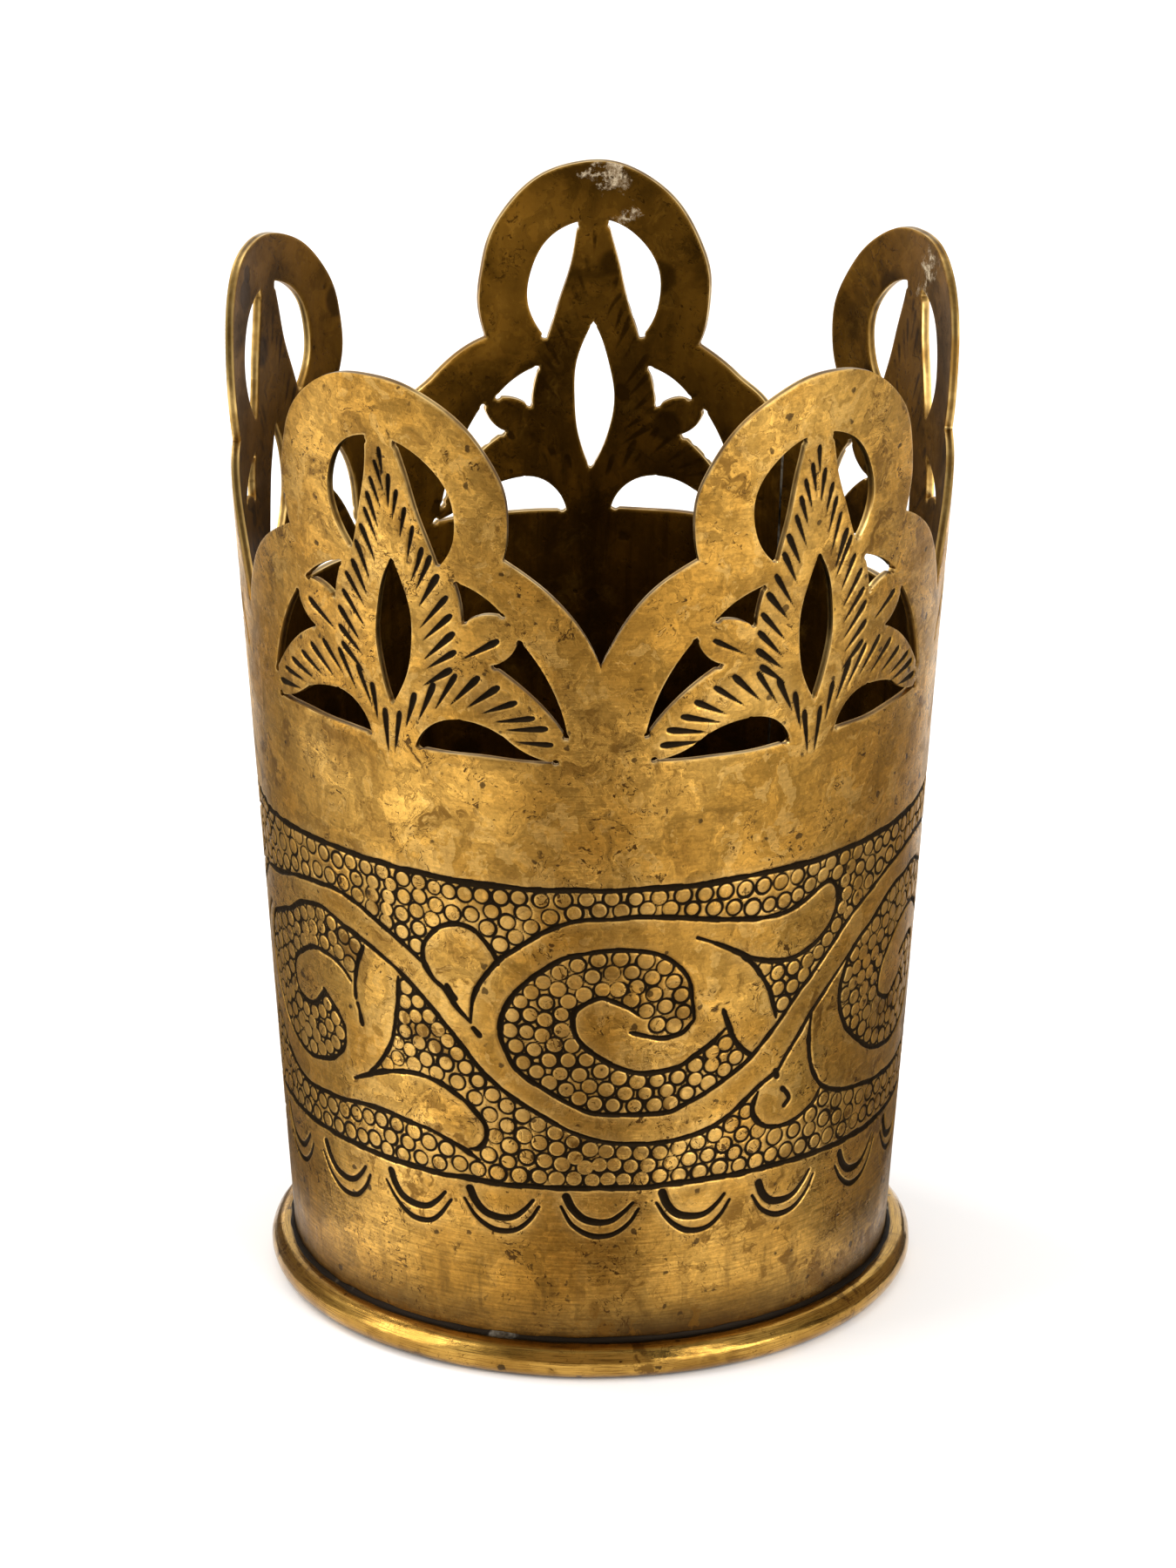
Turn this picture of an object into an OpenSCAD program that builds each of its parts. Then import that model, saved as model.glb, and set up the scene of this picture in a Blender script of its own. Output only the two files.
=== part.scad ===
// Tea glass holder of rolled brass sheet: a tapered sleeve with a pierced crown
// of petals, standing in a half-round foot ring. Z is up, the foot stands at z = 0.
// Azimuths run from the front (-Y) towards +X, and a notch of the crown faces front.

/* [Sleeve] */
// Outer diameter of the sleeve where it stands
foot_d = 60; // [54:1:68]
// Outer diameter of the sleeve at the petal tips
mouth_d = 74.4; // [66:0.2:82]
// Height of the plain and chased part, up to the base of the crown
body_h = 66.5; // [58:0.5:76]
// Height of the crown, from its base to the petal tips
crown_h = 38.5; // [36:0.5:42]
// Thickness of the brass sheet
wall = 0.9; // [0.6:0.1:1.3]
// Width of the brazed butt joint where the rolled sheet closes
seam_w = 0.3; // [0.2:0.05:0.6]

/* [Crown] */
// Outer radius of the arch that heads each petal
arch_r = 13.5; // [12:0.25:14.5]
// Width of the band of sheet round the arch
arch_band = 6.2; // [4.5:0.1:7.5]
// Height of the notch between two petals above the base of the crown
notch_h = 10.5; // [8:0.5:13]
// Width of the spear leaf where it meets the arch
spear_tip_w = 3.3; // [2:0.1:4.5]
// Width of the spear leaf at the foot of the arch opening
spear_foot_w = 9.7; // [8:0.1:11]
// Width of the lens-shaped opening in the spear leaf
lens_w = 4.1; // [2.5:0.1:5]
// Height of the lens-shaped opening in the spear leaf
lens_h = 15.6; // [11:0.1:17]

/* [Frieze] */
// Height of the lower border line of the chased frieze
frieze_low = 20.6; // [17:0.1:24]
// Height of the upper border line of the chased frieze
frieze_high = 53.2; // [48:0.1:57]
// Width of a border line
line_w = 0.6; // [0.4:0.05:1]
// Depth of a border line
line_deep = 0.25; // [0.1:0.05:0.4]

/* [Foot] */
// Height of the half-round foot ring
ring_h = 3.5; // [2.6:0.1:5]
// How far the foot ring stands out from the sleeve
ring_proud = 2.6; // [2.5:0.1:4]
// Thickness of the floor plate that the glass stands on
floor_t = 1.2; // [0.8:0.1:2]
// Leg of the solder fillets at the foot ring and round the floor
solder_leg = 0.6; // [0.3:0.05:1]

/* [Hidden] */
$fn = 128;
petal_count = 5;
arc_steps = 8;
pitch = 360 / petal_count;
height = body_h + crown_h;
// The sleeve grows by this much of radius for each unit of height
taper = (mouth_d - foot_d) / 2 / height;
notch_z = body_h + notch_h;
// Radius at which the crown's outlines are measured along the sheet
crown_r = foot_d / 2 + taper * notch_z;
half_pitch_u = PI * crown_r / petal_count;
// The seam runs up to the notch behind the right-hand petal
seam_az = 2 * pitch;
overrun = wall;
reach = mouth_d / 2 + ring_proud;
floor_bevel = min(solder_leg, floor_t / 2);
// Cuts start well inside the sheet, the side openings' closer to it, so that they stay apart
gap_start = foot_d / 4;
side_start = foot_d / 2 - 2 * wall;
arch_z = height - arch_r;
// The shoulders are arcs about points close to each petal's centre line
shoulder_place_share = 0.893;
shoulder_round_share = 1.065;
shoulder_x = shoulder_place_share * crown_r * sin(pitch / 2);
shoulder_r = shoulder_round_share * shoulder_x;
shoulder_z = notch_z - sqrt(pow(shoulder_r, 2) - pow(shoulder_x, 2));
// The foot of the arch openings, as a share of the opening's radius below its centre
moon_foot_share = 0.7;
lens_mid_share = 0.309;
// Corners of the side openings: the share of half a petal's width, then of the crown's height.
// Each goes round clockwise on the right of a petal, and its bows follow the sides in turn.
fin_shares = [[0.275, 0.465], [0.518, 0.382], [0.320, 0.351]];
fin_bow_shares = [0.08, -0.13, -0.04];
sail_shares = [[0.586, 0.338], [0.820, 0.066], [0.464, 0.255]];
sail_bow_shares = [0.07, -0.07, -0.15];
base_shares = [[0.122, 0.003], [0.307, 0.098], [0.541, 0.062], [0.785, 0.003]];
base_bow_shares = [0.17, 0.07, -0.07, 0];

function outer_r(z) = foot_d / 2 + taper * z;
function inner_r(z) = outer_r(z) - wall;
function turn(u) = u / crown_r * 180 / PI;
function crown_point(share) = [share[0] * half_pitch_u, body_h + share[1] * crown_h];
// Points of an arc from p to q, which rises to the left of that line by a share of its length
function arc_points(p, q, share) =
  let (side = q - p, left = [-side[1], side[0]], turned = 4 * atan(2 * share), half = turned / 2)
  share == 0 ? [p] : [
    for (i = [0:arc_steps - 1])
      let (a = (i / arc_steps) * turned - half)
      p + side * (sin(half) + sin(a)) / (2 * sin(half)) + left * (cos(a) - cos(half)) / (2 * sin(half))
  ];
// An outline whose sides bow out, or in where the share is negative
function bowed(points, shares) =
  [for (i = [0:len(points) - 1]) each arc_points(points[i], points[(i + 1) % len(points)], shares[i])];
function mean_u(shares) = half_pitch_u * (min([for (s = shares) s[0]]) + max([for (s = shares) s[0]])) / 2;

// A prism out through the wall at one azimuth, drawn upright as seen from outside
module aim(az, start)
  rotate([0, 0, az])
    translate([0, -start, 0])
      rotate([90, 0, 0])
        linear_extrude(reach - start)
          children();

// One side opening, on the right and the left of a petal's centre line
module side_openings(shares, bows) {
  middle = mean_u(shares);
  points = [for (s = shares) crown_point(s) - [middle, 0]];
  for (side = [-1, 1])
    rotate([0, 0, side * turn(middle)])
      aim(0, side_start)
        mirror([side < 0 ? 1 : 0, 0])
          polygon(bowed(points, bows));
}

// The two half-moons of the arch, parted by the spear leaf
module arch_openings() {
  r = arch_r - arch_band;
  foot = arch_z - moon_foot_share * r;
  top = arch_z + r;
  aim(0, gap_start)
    difference() {
      translate([0, arch_z])
        circle(r = r);
      polygon([
        [-spear_foot_w / 2, foot],
        [-spear_tip_w / 2, top],
        [spear_tip_w / 2, top],
        [spear_foot_w / 2, foot]
      ]);
      translate([-r, arch_z - r])
        square([2 * r, foot - arch_z + r]);
    }
}

// The pointed opening up the middle of the spear leaf
module lens_opening() {
  arc_r = (pow(lens_h / 2, 2) + pow(lens_w / 2, 2)) / lens_w;
  aim(0, gap_start)
    translate([0, body_h + lens_mid_share * crown_h])
      intersection_for(side = [-1, 1])
        translate([side * (arc_r - lens_w / 2), 0])
          circle(r = arc_r);
}

// The two shoulders that meet in a notch, up to the centre lines of the petals beside it
module shoulders() {
  width = outer_r(shoulder_z + shoulder_r) * sin(pitch / 2) + overrun;
  aim(0, gap_start)
    intersection() {
      union()
        for (side = [-1, 1])
          translate([side * shoulder_x, shoulder_z])
            circle(r = shoulder_r);
      translate([-width, shoulder_z])
        square([2 * width, shoulder_r + overrun]);
    }
}

// Everything above the crown's outline, which the arches and the shoulders leave standing
module crown_waste() {
  top = height + 2 * overrun;
  difference() {
    rotate_extrude()
      translate([inner_r(body_h) - 2 * overrun, notch_z - overrun])
        square([taper * crown_h + wall + 4 * overrun, top - notch_z + overrun]);
    for (i = [0:petal_count - 1]) {
      rotate([0, 0, i * pitch])
        shoulders();
      aim((i + 0.5) * pitch, gap_start)
        translate([0, arch_z])
          circle(r = arch_r);
    }
  }
}

// One border line of the frieze, cut round the sleeve
module border_line(z)
  rotate_extrude()
    polygon([
      [outer_r(z) - line_deep, z],
      [outer_r(z) + line_deep, z - line_w],
      [outer_r(z) + line_deep, z + line_w]
    ]);

// The joint of the rolled sheet, as a thin upright slab
module seam_slab(rise)
  rotate([0, 0, seam_az])
    translate([-seam_w / 2, -reach, -overrun])
      cube([seam_w, reach, rise + overrun]);

// The plain tapered sheet, up to a height
module cone_sheet(top)
  rotate_extrude()
    polygon([
      [inner_r(0), 0],
      [outer_r(0), 0],
      [outer_r(top), top],
      [inner_r(top), top]
    ]);

module sleeve()
  color("#b08a3a")
    difference() {
      cone_sheet(height + overrun);
      seam_slab(height);
      crown_waste();
      for (i = [0:petal_count - 1])
        rotate([0, 0, (i + 0.5) * pitch]) {
          arch_openings();
          lens_opening();
          side_openings(fin_shares, fin_bow_shares);
          side_openings(sail_shares, sail_bow_shares);
          side_openings(base_shares, base_bow_shares);
        }
      for (z = [frieze_low, frieze_high])
        border_line(z);
    }

module side_seam()
  color("#c9a860")
    intersection() {
      cone_sheet(notch_z);
      seam_slab(notch_z);
    }

module foot_ring() {
  round_r = ring_h / 2;
  flat = ring_proud - round_r;
  color("#b98f35")
    rotate_extrude()
      difference() {
        union() {
          translate([outer_r(0) + flat, round_r])
            circle(r = round_r);
          translate([inner_r(0), 0])
            square([wall + flat, ring_h]);
        }
        polygon([
          [0, -overrun],
          [outer_r(-overrun), -overrun],
          [outer_r(ring_h + overrun), ring_h + overrun],
          [0, ring_h + overrun]
        ]);
      }
}

module foot_solder()
  color("#8f8468")
    rotate_extrude()
      polygon([
        [outer_r(ring_h), ring_h],
        [outer_r(ring_h) + solder_leg, ring_h],
        [outer_r(ring_h + solder_leg), ring_h + solder_leg]
      ]);

// The plate's upper edge is bevelled, so that the solder lies beside the glass's seat
module floor_plate()
  color("#9c7a34")
    rotate_extrude()
      polygon([
        [0, 0],
        [inner_r(0), 0],
        [inner_r(floor_t - floor_bevel), floor_t - floor_bevel],
        [inner_r(floor_t) - floor_bevel, floor_t],
        [0, floor_t]
      ]);

module floor_solder()
  color("#8f8468")
    rotate_extrude()
      polygon([
        [inner_r(floor_t - floor_bevel), floor_t - floor_bevel],
        [inner_r(floor_t + solder_leg), floor_t + solder_leg],
        [inner_r(floor_t) - floor_bevel, floor_t]
      ]);

sleeve();
side_seam();
foot_ring();
foot_solder();
floor_plate();
floor_solder();
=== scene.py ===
import math
import bpy
import numpy as np
from mathutils import Matrix, Vector


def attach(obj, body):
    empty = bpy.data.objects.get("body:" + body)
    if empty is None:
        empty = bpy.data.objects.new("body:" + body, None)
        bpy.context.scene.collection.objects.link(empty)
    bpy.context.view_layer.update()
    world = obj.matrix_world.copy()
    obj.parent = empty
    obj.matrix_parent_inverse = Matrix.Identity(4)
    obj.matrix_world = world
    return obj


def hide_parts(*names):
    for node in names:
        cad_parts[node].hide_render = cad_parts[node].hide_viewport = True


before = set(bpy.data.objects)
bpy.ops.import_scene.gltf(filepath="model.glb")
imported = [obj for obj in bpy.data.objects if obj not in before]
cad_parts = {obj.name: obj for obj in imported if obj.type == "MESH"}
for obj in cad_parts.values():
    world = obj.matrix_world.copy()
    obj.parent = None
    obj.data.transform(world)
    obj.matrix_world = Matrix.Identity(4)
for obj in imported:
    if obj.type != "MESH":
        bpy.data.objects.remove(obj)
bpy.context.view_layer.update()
mm = 0.001

# The rolled sheet that everything is worked on, in millimetres and degrees.
# Azimuth runs from the front notch towards +X, height from the table.
sheet = {
    "footRadius": 30.0,
    "mouthRadius": 37.2,
    "height": 105.0,
    "thickness": 0.9,
    "crownRadius": 35.28,      # where the crown's outlines are measured
    "seamAzimuth": 144.0,
    "seamHalfWidth": 0.15,
    "undulation": 0.10,        # how deep the hammered unevenness goes
    "uvSize": 100,             # millimetres of sheet for one unit of its UV map
}
degree = math.radians(1)


# The cone's outer radius grows evenly from the foot to the petal tips
def radiusAt(z):
    slope = (sheet["mouthRadius"] - sheet["footRadius"]) / sheet["height"]
    return sheet["footRadius"] + slope * z


# Long shallow waves, always inwards: products of sines of azimuth and height
def unevenness(azimuth, z):
    a = np.radians(azimuth)
    wave = (np.sin(5 * a + 0.7) * np.sin(z / 11.0 + 1.3)
            + 0.6 * np.sin(13 * a - z / 9.0 + 2.1)
            + 0.5 * np.sin(9 * a + z / 5.3) * np.sin(z / 17.0 + 0.4))
    return sheet["undulation"] * (0.5 + 0.24 * wave)


# Points in metres at an azimuth, a radius and a height: the radius turned to the azimuth
def roundPoints(azimuth, radius, z):
    a = np.radians(azimuth)
    return np.stack([radius * np.sin(a), -radius * np.cos(a), z + 0 * a], -1) * mm


# Place on the sheet: its outer radius less the depth
def sheetPoints(azimuth, z, depth):
    return roundPoints(azimuth, radiusAt(z) - depth, z)


# The sheet laid flat: the way round it at the crown's radius, and the height
def sheetUv(azimuth, z):
    return np.stack([np.radians(azimuth) * sheet["crownRadius"], z], -1).reshape(-1, 2) / sheet["uvSize"]


# Half the seam's width as an angle at a height
def seamGap(z):
    return math.degrees(sheet["seamHalfWidth"] / radiusAt(z))


# Rises from 0 to 1 with level ends: three squares less two cubes
def smoothStep(x):
    t = np.clip(x, 0, 1)
    return t * t * (3 - 2 * t)


# Mesh helpers

# Puts whole arrays into a mesh: points, then polygons as a list of index arrays, one row a polygon
def addPiece(name, points, polygons, slots, materials, values=None, uv=None, sharpAt=62):
    mesh = bpy.data.meshes.new(name)
    mesh.vertices.add(len(points))
    mesh.vertices.foreach_set("co", np.asarray(points, np.float32).ravel())
    corners = np.concatenate([p.ravel() for p in polygons]).astype(np.int32)
    sizes = np.concatenate([np.full(len(p), p.shape[1]) for p in polygons])
    starts = np.concatenate([[0], np.cumsum(sizes)[:-1]]).astype(np.int32)
    mesh.loops.add(len(corners))
    mesh.loops.foreach_set("vertex_index", corners)
    mesh.polygons.add(len(starts))
    mesh.polygons.foreach_set("loop_start", starts)
    slotOf = np.concatenate([np.full(len(p), s) for p, s in zip(polygons, slots)])
    mesh.polygons.foreach_set("material_index", slotOf.astype(np.int32))
    mesh.polygons.foreach_set("use_smooth", np.ones(len(starts), bool))
    mesh.update(calc_edges=True)
    if uv is not None:
        layer = mesh.uv_layers.new(name="sheetUv")
        layer.data.foreach_set("uv", np.asarray(uv, np.float32)[corners].ravel())
    for key, value in (values or {}).items():
        field = mesh.attributes.new(key, "FLOAT", "POINT")
        field.data.foreach_set("value", np.asarray(value, np.float32).ravel())
    for material in materials:
        mesh.materials.append(material)
    mesh.set_sharp_from_angle(angle=math.radians(sharpAt))
    mesh.validate()
    piece = bpy.data.objects.new(name, mesh)
    bpy.context.scene.collection.objects.link(piece)
    return piece


# Parents a finished piece to the root and hides the node that it stands for
def seat(piece, node):
    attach(piece, "root")
    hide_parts(node)


# Quads of a grid of points, counterclockwise where columns run to the right and rows run up
def gridQuads(rows, columns, first=0):
    row, column = np.meshgrid(np.arange(rows - 1), np.arange(columns - 1), indexing="ij")
    low, high = row * columns + column, (row + 1) * columns + column
    return np.stack([low, low + 1, high + 1, high], -1).reshape(-1, 4) + first


# Quads of a closed profile of m points that is carried along n places, with its left side metal: one row
# of m for each step, and a last step back to the first place where the way round closes
def carriedQuads(n, m, closed=False):
    i, j = np.meshgrid(np.arange(n if closed else n - 1), np.arange(m), indexing="ij")
    after, beside = (i + 1) % n, (j + 1) % m
    return np.stack([i * m + j, after * m + j, after * m + beside, i * m + beside], -1)


# The two end faces of such a way, where it stays open
def endCaps(n, m):
    return [np.arange(m)[None, :], (np.arange(m)[::-1] + (n - 1) * m)[None, :]]


# Shader helpers

# One node: a number is set on its socket, and another node's output is linked to it
def newNode(tree, kind, inputs=None, **settings):
    made = tree.nodes.new(kind)
    for key, value in settings.items():
        setattr(made, key, value)
    for key, value in (inputs or {}).items():
        if isinstance(value, Value):
            tree.links.new(value.socket, made.inputs[key])
        else:
            made.inputs[key].default_value = value
    return made


# An output to reckon with: each sign between values, or between one and a number, adds a Math node
class Value:
    def __init__(self, socket):
        self.socket = socket
        self.tree = socket.id_data

    def math(self, operation, a, b=0.0):
        return Value(newNode(self.tree, "ShaderNodeMath", {0: a, 1: b}, operation=operation).outputs[0])

    def __add__(self, other):
        return self.math("ADD", self, other)

    def __sub__(self, other):
        return self.math("SUBTRACT", self, other)

    def __rsub__(self, other):
        return self.math("SUBTRACT", other, self)

    def __mul__(self, other):
        return self.math("MULTIPLY", self, other)

    __radd__, __rmul__ = __add__, __mul__

    def larger(self, other):
        return self.math("MAXIMUM", self, other)

    # How far the value is from a level, whichever side it is on
    def off(self, level):
        return self.math("ABSOLUTE", self - level)

    def below(self, level):
        return self.math("LESS_THAN", self, level)

    # Keeps the last sum between 0 and 1
    def held(self):
        self.socket.node.use_clamp = True
        return self

    # Spreads a range of the value over another range, evenly
    def even(self, low, high, toLow=0.0, toHigh=1.0, kind="LINEAR"):
        ends = {"Value": self, "From Min": low, "From Max": high, "To Min": toLow, "To Max": toHigh}
        made = newNode(self.tree, "ShaderNodeMapRange", ends, interpolation_type=kind)
        return Value(made.outputs["Result"])

    # The same with level ends
    def eased(self, low, high, toLow=0.0, toHigh=1.0):
        return self.even(low, high, toLow, toHigh, "SMOOTHSTEP")


def noise(vector, scale, detail=4.0, rough=0.55, twist=0.0, output=0):
    made = newNode(vector.tree, "ShaderNodeTexNoise",
                   {"Vector": vector, "Scale": scale, "Detail": detail,
                    "Roughness": rough, "Distortion": twist})
    return Value(made.outputs[output])


def vectorMath(operation, vector, other=None, factor=None, output=0):
    inputs = {0: vector}
    if other is not None:
        inputs[1] = other
    if factor is not None:
        inputs[3] = factor
    return Value(newNode(vector.tree, "ShaderNodeVectorMath", inputs, operation=operation).outputs[output])


def stretched(vector, scale, turn=(0.0, 0.0, 0.0)):
    made = newNode(vector.tree, "ShaderNodeMapping", {"Vector": vector, "Scale": scale, "Rotation": turn})
    return Value(made.outputs[0])


# The vector pushed aside by a noise, by up to half a reach in metres
def warpedBy(vector, scale, detail, reach):
    aside = vectorMath("SUBTRACT", noise(vector, scale, detail, 0.5, output="Color"), (0.5, 0.5, 0.5))
    return vectorMath("ADD", vector, vectorMath("SCALE", aside, factor=reach))


# Cells of a Voronoi texture: the way to their middles and three random shares for each
def cellsOf(vector, scale):
    cells = newNode(vector.tree, "ShaderNodeTexVoronoi", {"Vector": vector, "Scale": scale})
    split = newNode(vector.tree, "ShaderNodeSeparateColor", {0: Value(cells.outputs["Color"])})
    return Value(cells.outputs["Distance"]), [Value(share) for share in split.outputs]


def mixed(tree, mask, a, b, way="MIX"):
    made = newNode(tree, "ShaderNodeMix", {0: mask, 6: a, 7: b}, data_type="RGBA", blend_type=way)
    return Value(made.outputs[2])


# A node group whose other inputs are numbers with a default, and whose outputs are all values
def newGroup(name, numbers, outputs):
    group = bpy.data.node_groups.new(name, "ShaderNodeTree")
    group.interface.new_socket(name="Vector", in_out="INPUT", socket_type="NodeSocketVector")
    for label, number in numbers.items():
        socket = group.interface.new_socket(name=label, in_out="INPUT", socket_type="NodeSocketFloat")
        socket.default_value = number
    for label in outputs:
        group.interface.new_socket(name=label, in_out="OUTPUT", socket_type="NodeSocketFloat")
    start, end = group.nodes.new("NodeGroupInput"), group.nodes.new("NodeGroupOutput")

    def putOut(label, value):
        group.links.new(value.socket, end.inputs[label])

    return group, [Value(socket) for socket in start.outputs[:1 + len(numbers)]], putOut


def useGroup(group, vector, numbers=None):
    made = newNode(vector.tree, "ShaderNodeGroup", node_tree=group)
    vector.tree.links.new(vector.socket, made.inputs["Vector"])
    for label, number in (numbers or {}).items():
        made.inputs[label].default_value = number
    return {output.name: Value(output) for output in made.outputs}


# Tarnish in clouds, flakes and patches with crisp edges where old lacquer has lifted, the dark tide mark
# round them, eaten specks and fine grain: each is a noise with a range of it cut out
def makeTarnishGroup():
    group, (vector, cloudScale, flakeScale), putOut = newGroup(
        "tarnish", {"Cloud Scale": 55.0, "Flake Scale": 170.0},
        ["Cloud", "Flake", "Grain", "Stain", "Patch", "Tide", "Crumb", "Fleck", "Smudge", "Pale"])
    warped = warpedBy(vector, 260.0, 3.0, 0.009)
    cloud = noise(vector, cloudScale, 6.0, 0.62, 0.4)
    putOut("Cloud", cloud.eased(0.36, 0.66))
    putOut("Flake", cellsOf(warped, flakeScale)[1][0])
    putOut("Grain", noise(vector, 2600.0, 3.0, 0.7).even(0.30, 0.70))
    putOut("Stain", noise(warped, cloudScale * 1.9, 7.0, 0.68, 0.2).eased(0.52, 0.70))
    lifted = noise(warped, cloudScale * 2.4, 9.0, 0.60, 0.3)
    putOut("Patch", lifted.eased(0.50, 0.515))
    putOut("Tide", lifted.off(0.507).eased(0.010, 0.001) * cloud.eased(0.42, 0.58))
    crumb = noise(warped, 1000.0, 5.0, 0.66, 0.2).eased(0.60, 0.62)
    crack = noise(warped, 430.0, 3.0, 0.6, 0.4).off(0.5).eased(0.014, 0.005)
    crack = crack * noise(vector, 540.0, 2.0, 0.5).eased(0.50, 0.56)
    putOut("Crumb", crumb.larger(crack) * noise(vector, 150.0, 5.0, 0.65).eased(0.47, 0.56))
    putOut("Fleck", noise(warped, 480.0, 9.0, 0.66, 0.1).eased(0.485, 0.515))
    smudge = noise(warped, 230.0, 6.0, 0.70, 0.3).eased(0.54, 0.62)
    putOut("Smudge", smudge * noise(vector, 62.0, 3.0, 0.6).eased(0.44, 0.58))
    putOut("Pale", noise(warped, 260.0, 9.0, 0.60).eased(0.56, 0.575))
    return group


# Streaks that run along the sheet's first direction, as from a polishing wheel
def makeBrushGroup():
    group, (vector, along, across), putOut = newGroup(
        "brushing", {"Along": 12.0, "Across": 700.0}, ["Streak", "Hair"])
    scale = Value(newNode(group, "ShaderNodeCombineXYZ", {0: along, 1: across, 2: 1.0}).outputs[0])
    long = vectorMath("MULTIPLY", vector, scale)
    putOut("Streak", noise(long, 1.0, 4.0, 0.6))
    putOut("Hair", noise(vectorMath("SCALE", long, factor=3.1), 1.0, 2.0, 0.6))
    return group


# Small pits: cells of which only some hold a spot, each with its own size
def makePitGroup():
    group, (vector, scale, amount), putOut = newGroup("pitting", {"Scale": 700.0, "Amount": 0.3}, ["Pit"])
    away, (choice, size, _) = cellsOf(warpedBy(vector, 1500.0, 2.0, 0.0007), scale)
    spot = (size.even(0.0, 1.0, 0.10, 0.30) - away).eased(0.0, 0.09)
    putOut("Pit", spot * choice.below(amount))
    return group


# Fine scratches: thin bands of three long turned noises, kept only in places
def makeScratchGroup():
    group, (vector, scale), putOut = newGroup("scratches", {"Scale": 100.0}, ["Scratch"])
    total = None
    for turn, seed in ((0.5, 3.0), (-0.9, 7.0), (1.4, 12.0)):
        aside = vectorMath("ADD", vector, (seed, seed * 0.7, 0.0))
        spun = stretched(aside, (0.9, 14.0, 1.0), (0.0, 0.0, turn))
        band = noise(vectorMath("SCALE", spun, factor=scale), 1.0, 1.0, 0.4).off(0.5).eased(0.010, 0.0)
        line = band * noise(aside, 9.0 + seed, 2.0, 0.5).eased(0.56, 0.64)
        total = line if total is None else total.larger(line)
    putOut("Scratch", total)
    return group


tarnishGroup = makeTarnishGroup()
brushGroup = makeBrushGroup()
pitGroup = makePitGroup()
scratchGroup = makeScratchGroup()


def newMaterial(name, metallic, anisotropic=0.0):
    material = bpy.data.materials.new(name)
    material.use_nodes = True
    tree = material.node_tree
    shader = tree.nodes["Principled BSDF"]
    shader.inputs["Metallic"].default_value = metallic
    shader.inputs["Anisotropic"].default_value = anisotropic
    if anisotropic:
        along = newNode(tree, "ShaderNodeTangent", direction_type="RADIAL", axis="Z")
        tree.links.new(along.outputs[0], shader.inputs["Tangent"])
    return material, tree, shader


# A metal finish that is laid coat by coat, from the colours of its look
class Finish:
    def __init__(self, name, look, anisotropic=0.0):
        self.material, self.tree, self.shader = newMaterial(name, 1.0, anisotropic)
        self.look = look
        self.place = Value(newNode(self.tree, "ShaderNodeTexCoord").outputs["Object"])

    def uv(self):
        return Value(newNode(self.tree, "ShaderNodeUVMap", uv_map="sheetUv").outputs[0])

    def attribute(self, name):
        return Value(newNode(self.tree, "ShaderNodeAttribute", attribute_name=name).outputs["Fac"])

    def height(self):
        return Value(newNode(self.tree, "ShaderNodeSeparateXYZ", {0: self.place}).outputs[2])

    # The first coat goes from one colour to another along a mask
    def start(self, mask, a, b):
        self.colour = mixed(self.tree, mask, self.look[a], self.look[b])

    # A further coat covers what is there as far as its mask goes
    def lay(self, mask, tone):
        tone = self.look[tone] if isinstance(tone, str) else tone
        self.colour = mixed(self.tree, mask, self.colour, tone)

    # Darkens or lightens what is there: the colour times a grey
    def shade(self, grey):
        grey = Value(newNode(self.tree, "ShaderNodeCombineColor", {0: grey, 1: grey, 2: grey}).outputs[0])
        self.colour = mixed(self.tree, 1.0, self.colour, grey, "MULTIPLY")

    def join(self, label, value):
        self.tree.links.new(value.socket, self.shader.inputs[label])

    # Joins the coats, the roughness and a relief of so many metres to the shader
    def finish(self, rough, relief, strength, distance):
        bump = newNode(self.tree, "ShaderNodeBump",
                       {"Strength": strength, "Distance": distance, "Height": relief})
        self.join("Base Color", self.colour)
        self.join("Roughness", rough)
        self.join("Normal", Value(bump.outputs[0]))
        return self.material


# What someone would change about the worn brass outside
outerLook = {
    "light": (0.60, 0.337, 0.072, 1),
    "middle": (0.41, 0.208, 0.034, 1),
    # pale brass along the cut edges, partly rubbed wear and partly painted highlight, and beside the chased
    # lines as painted highlight
    "arris": (0.72, 0.46, 0.15, 1),
    "pale": (0.70, 0.43, 0.125, 1),
    "brown": (0.165, 0.078, 0.014, 1),
    # dark colour of the painted shade above the foot ring, and of the pits
    "shadeAndDarkMarks": (0.055, 0.030, 0.011, 1),
    "speck": (0.075, 0.036, 0.010, 1),
    "groove": (0.022, 0.014, 0.007, 1),
    "lineEdge": 0.05,          # millimetres over which a chased line fades
    "wheelLow": 0.0155,        # metres up to which the plain foot shows the polishing wheel
    "wheelHigh": 0.0205,       # and from which the patches show in full
}
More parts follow.
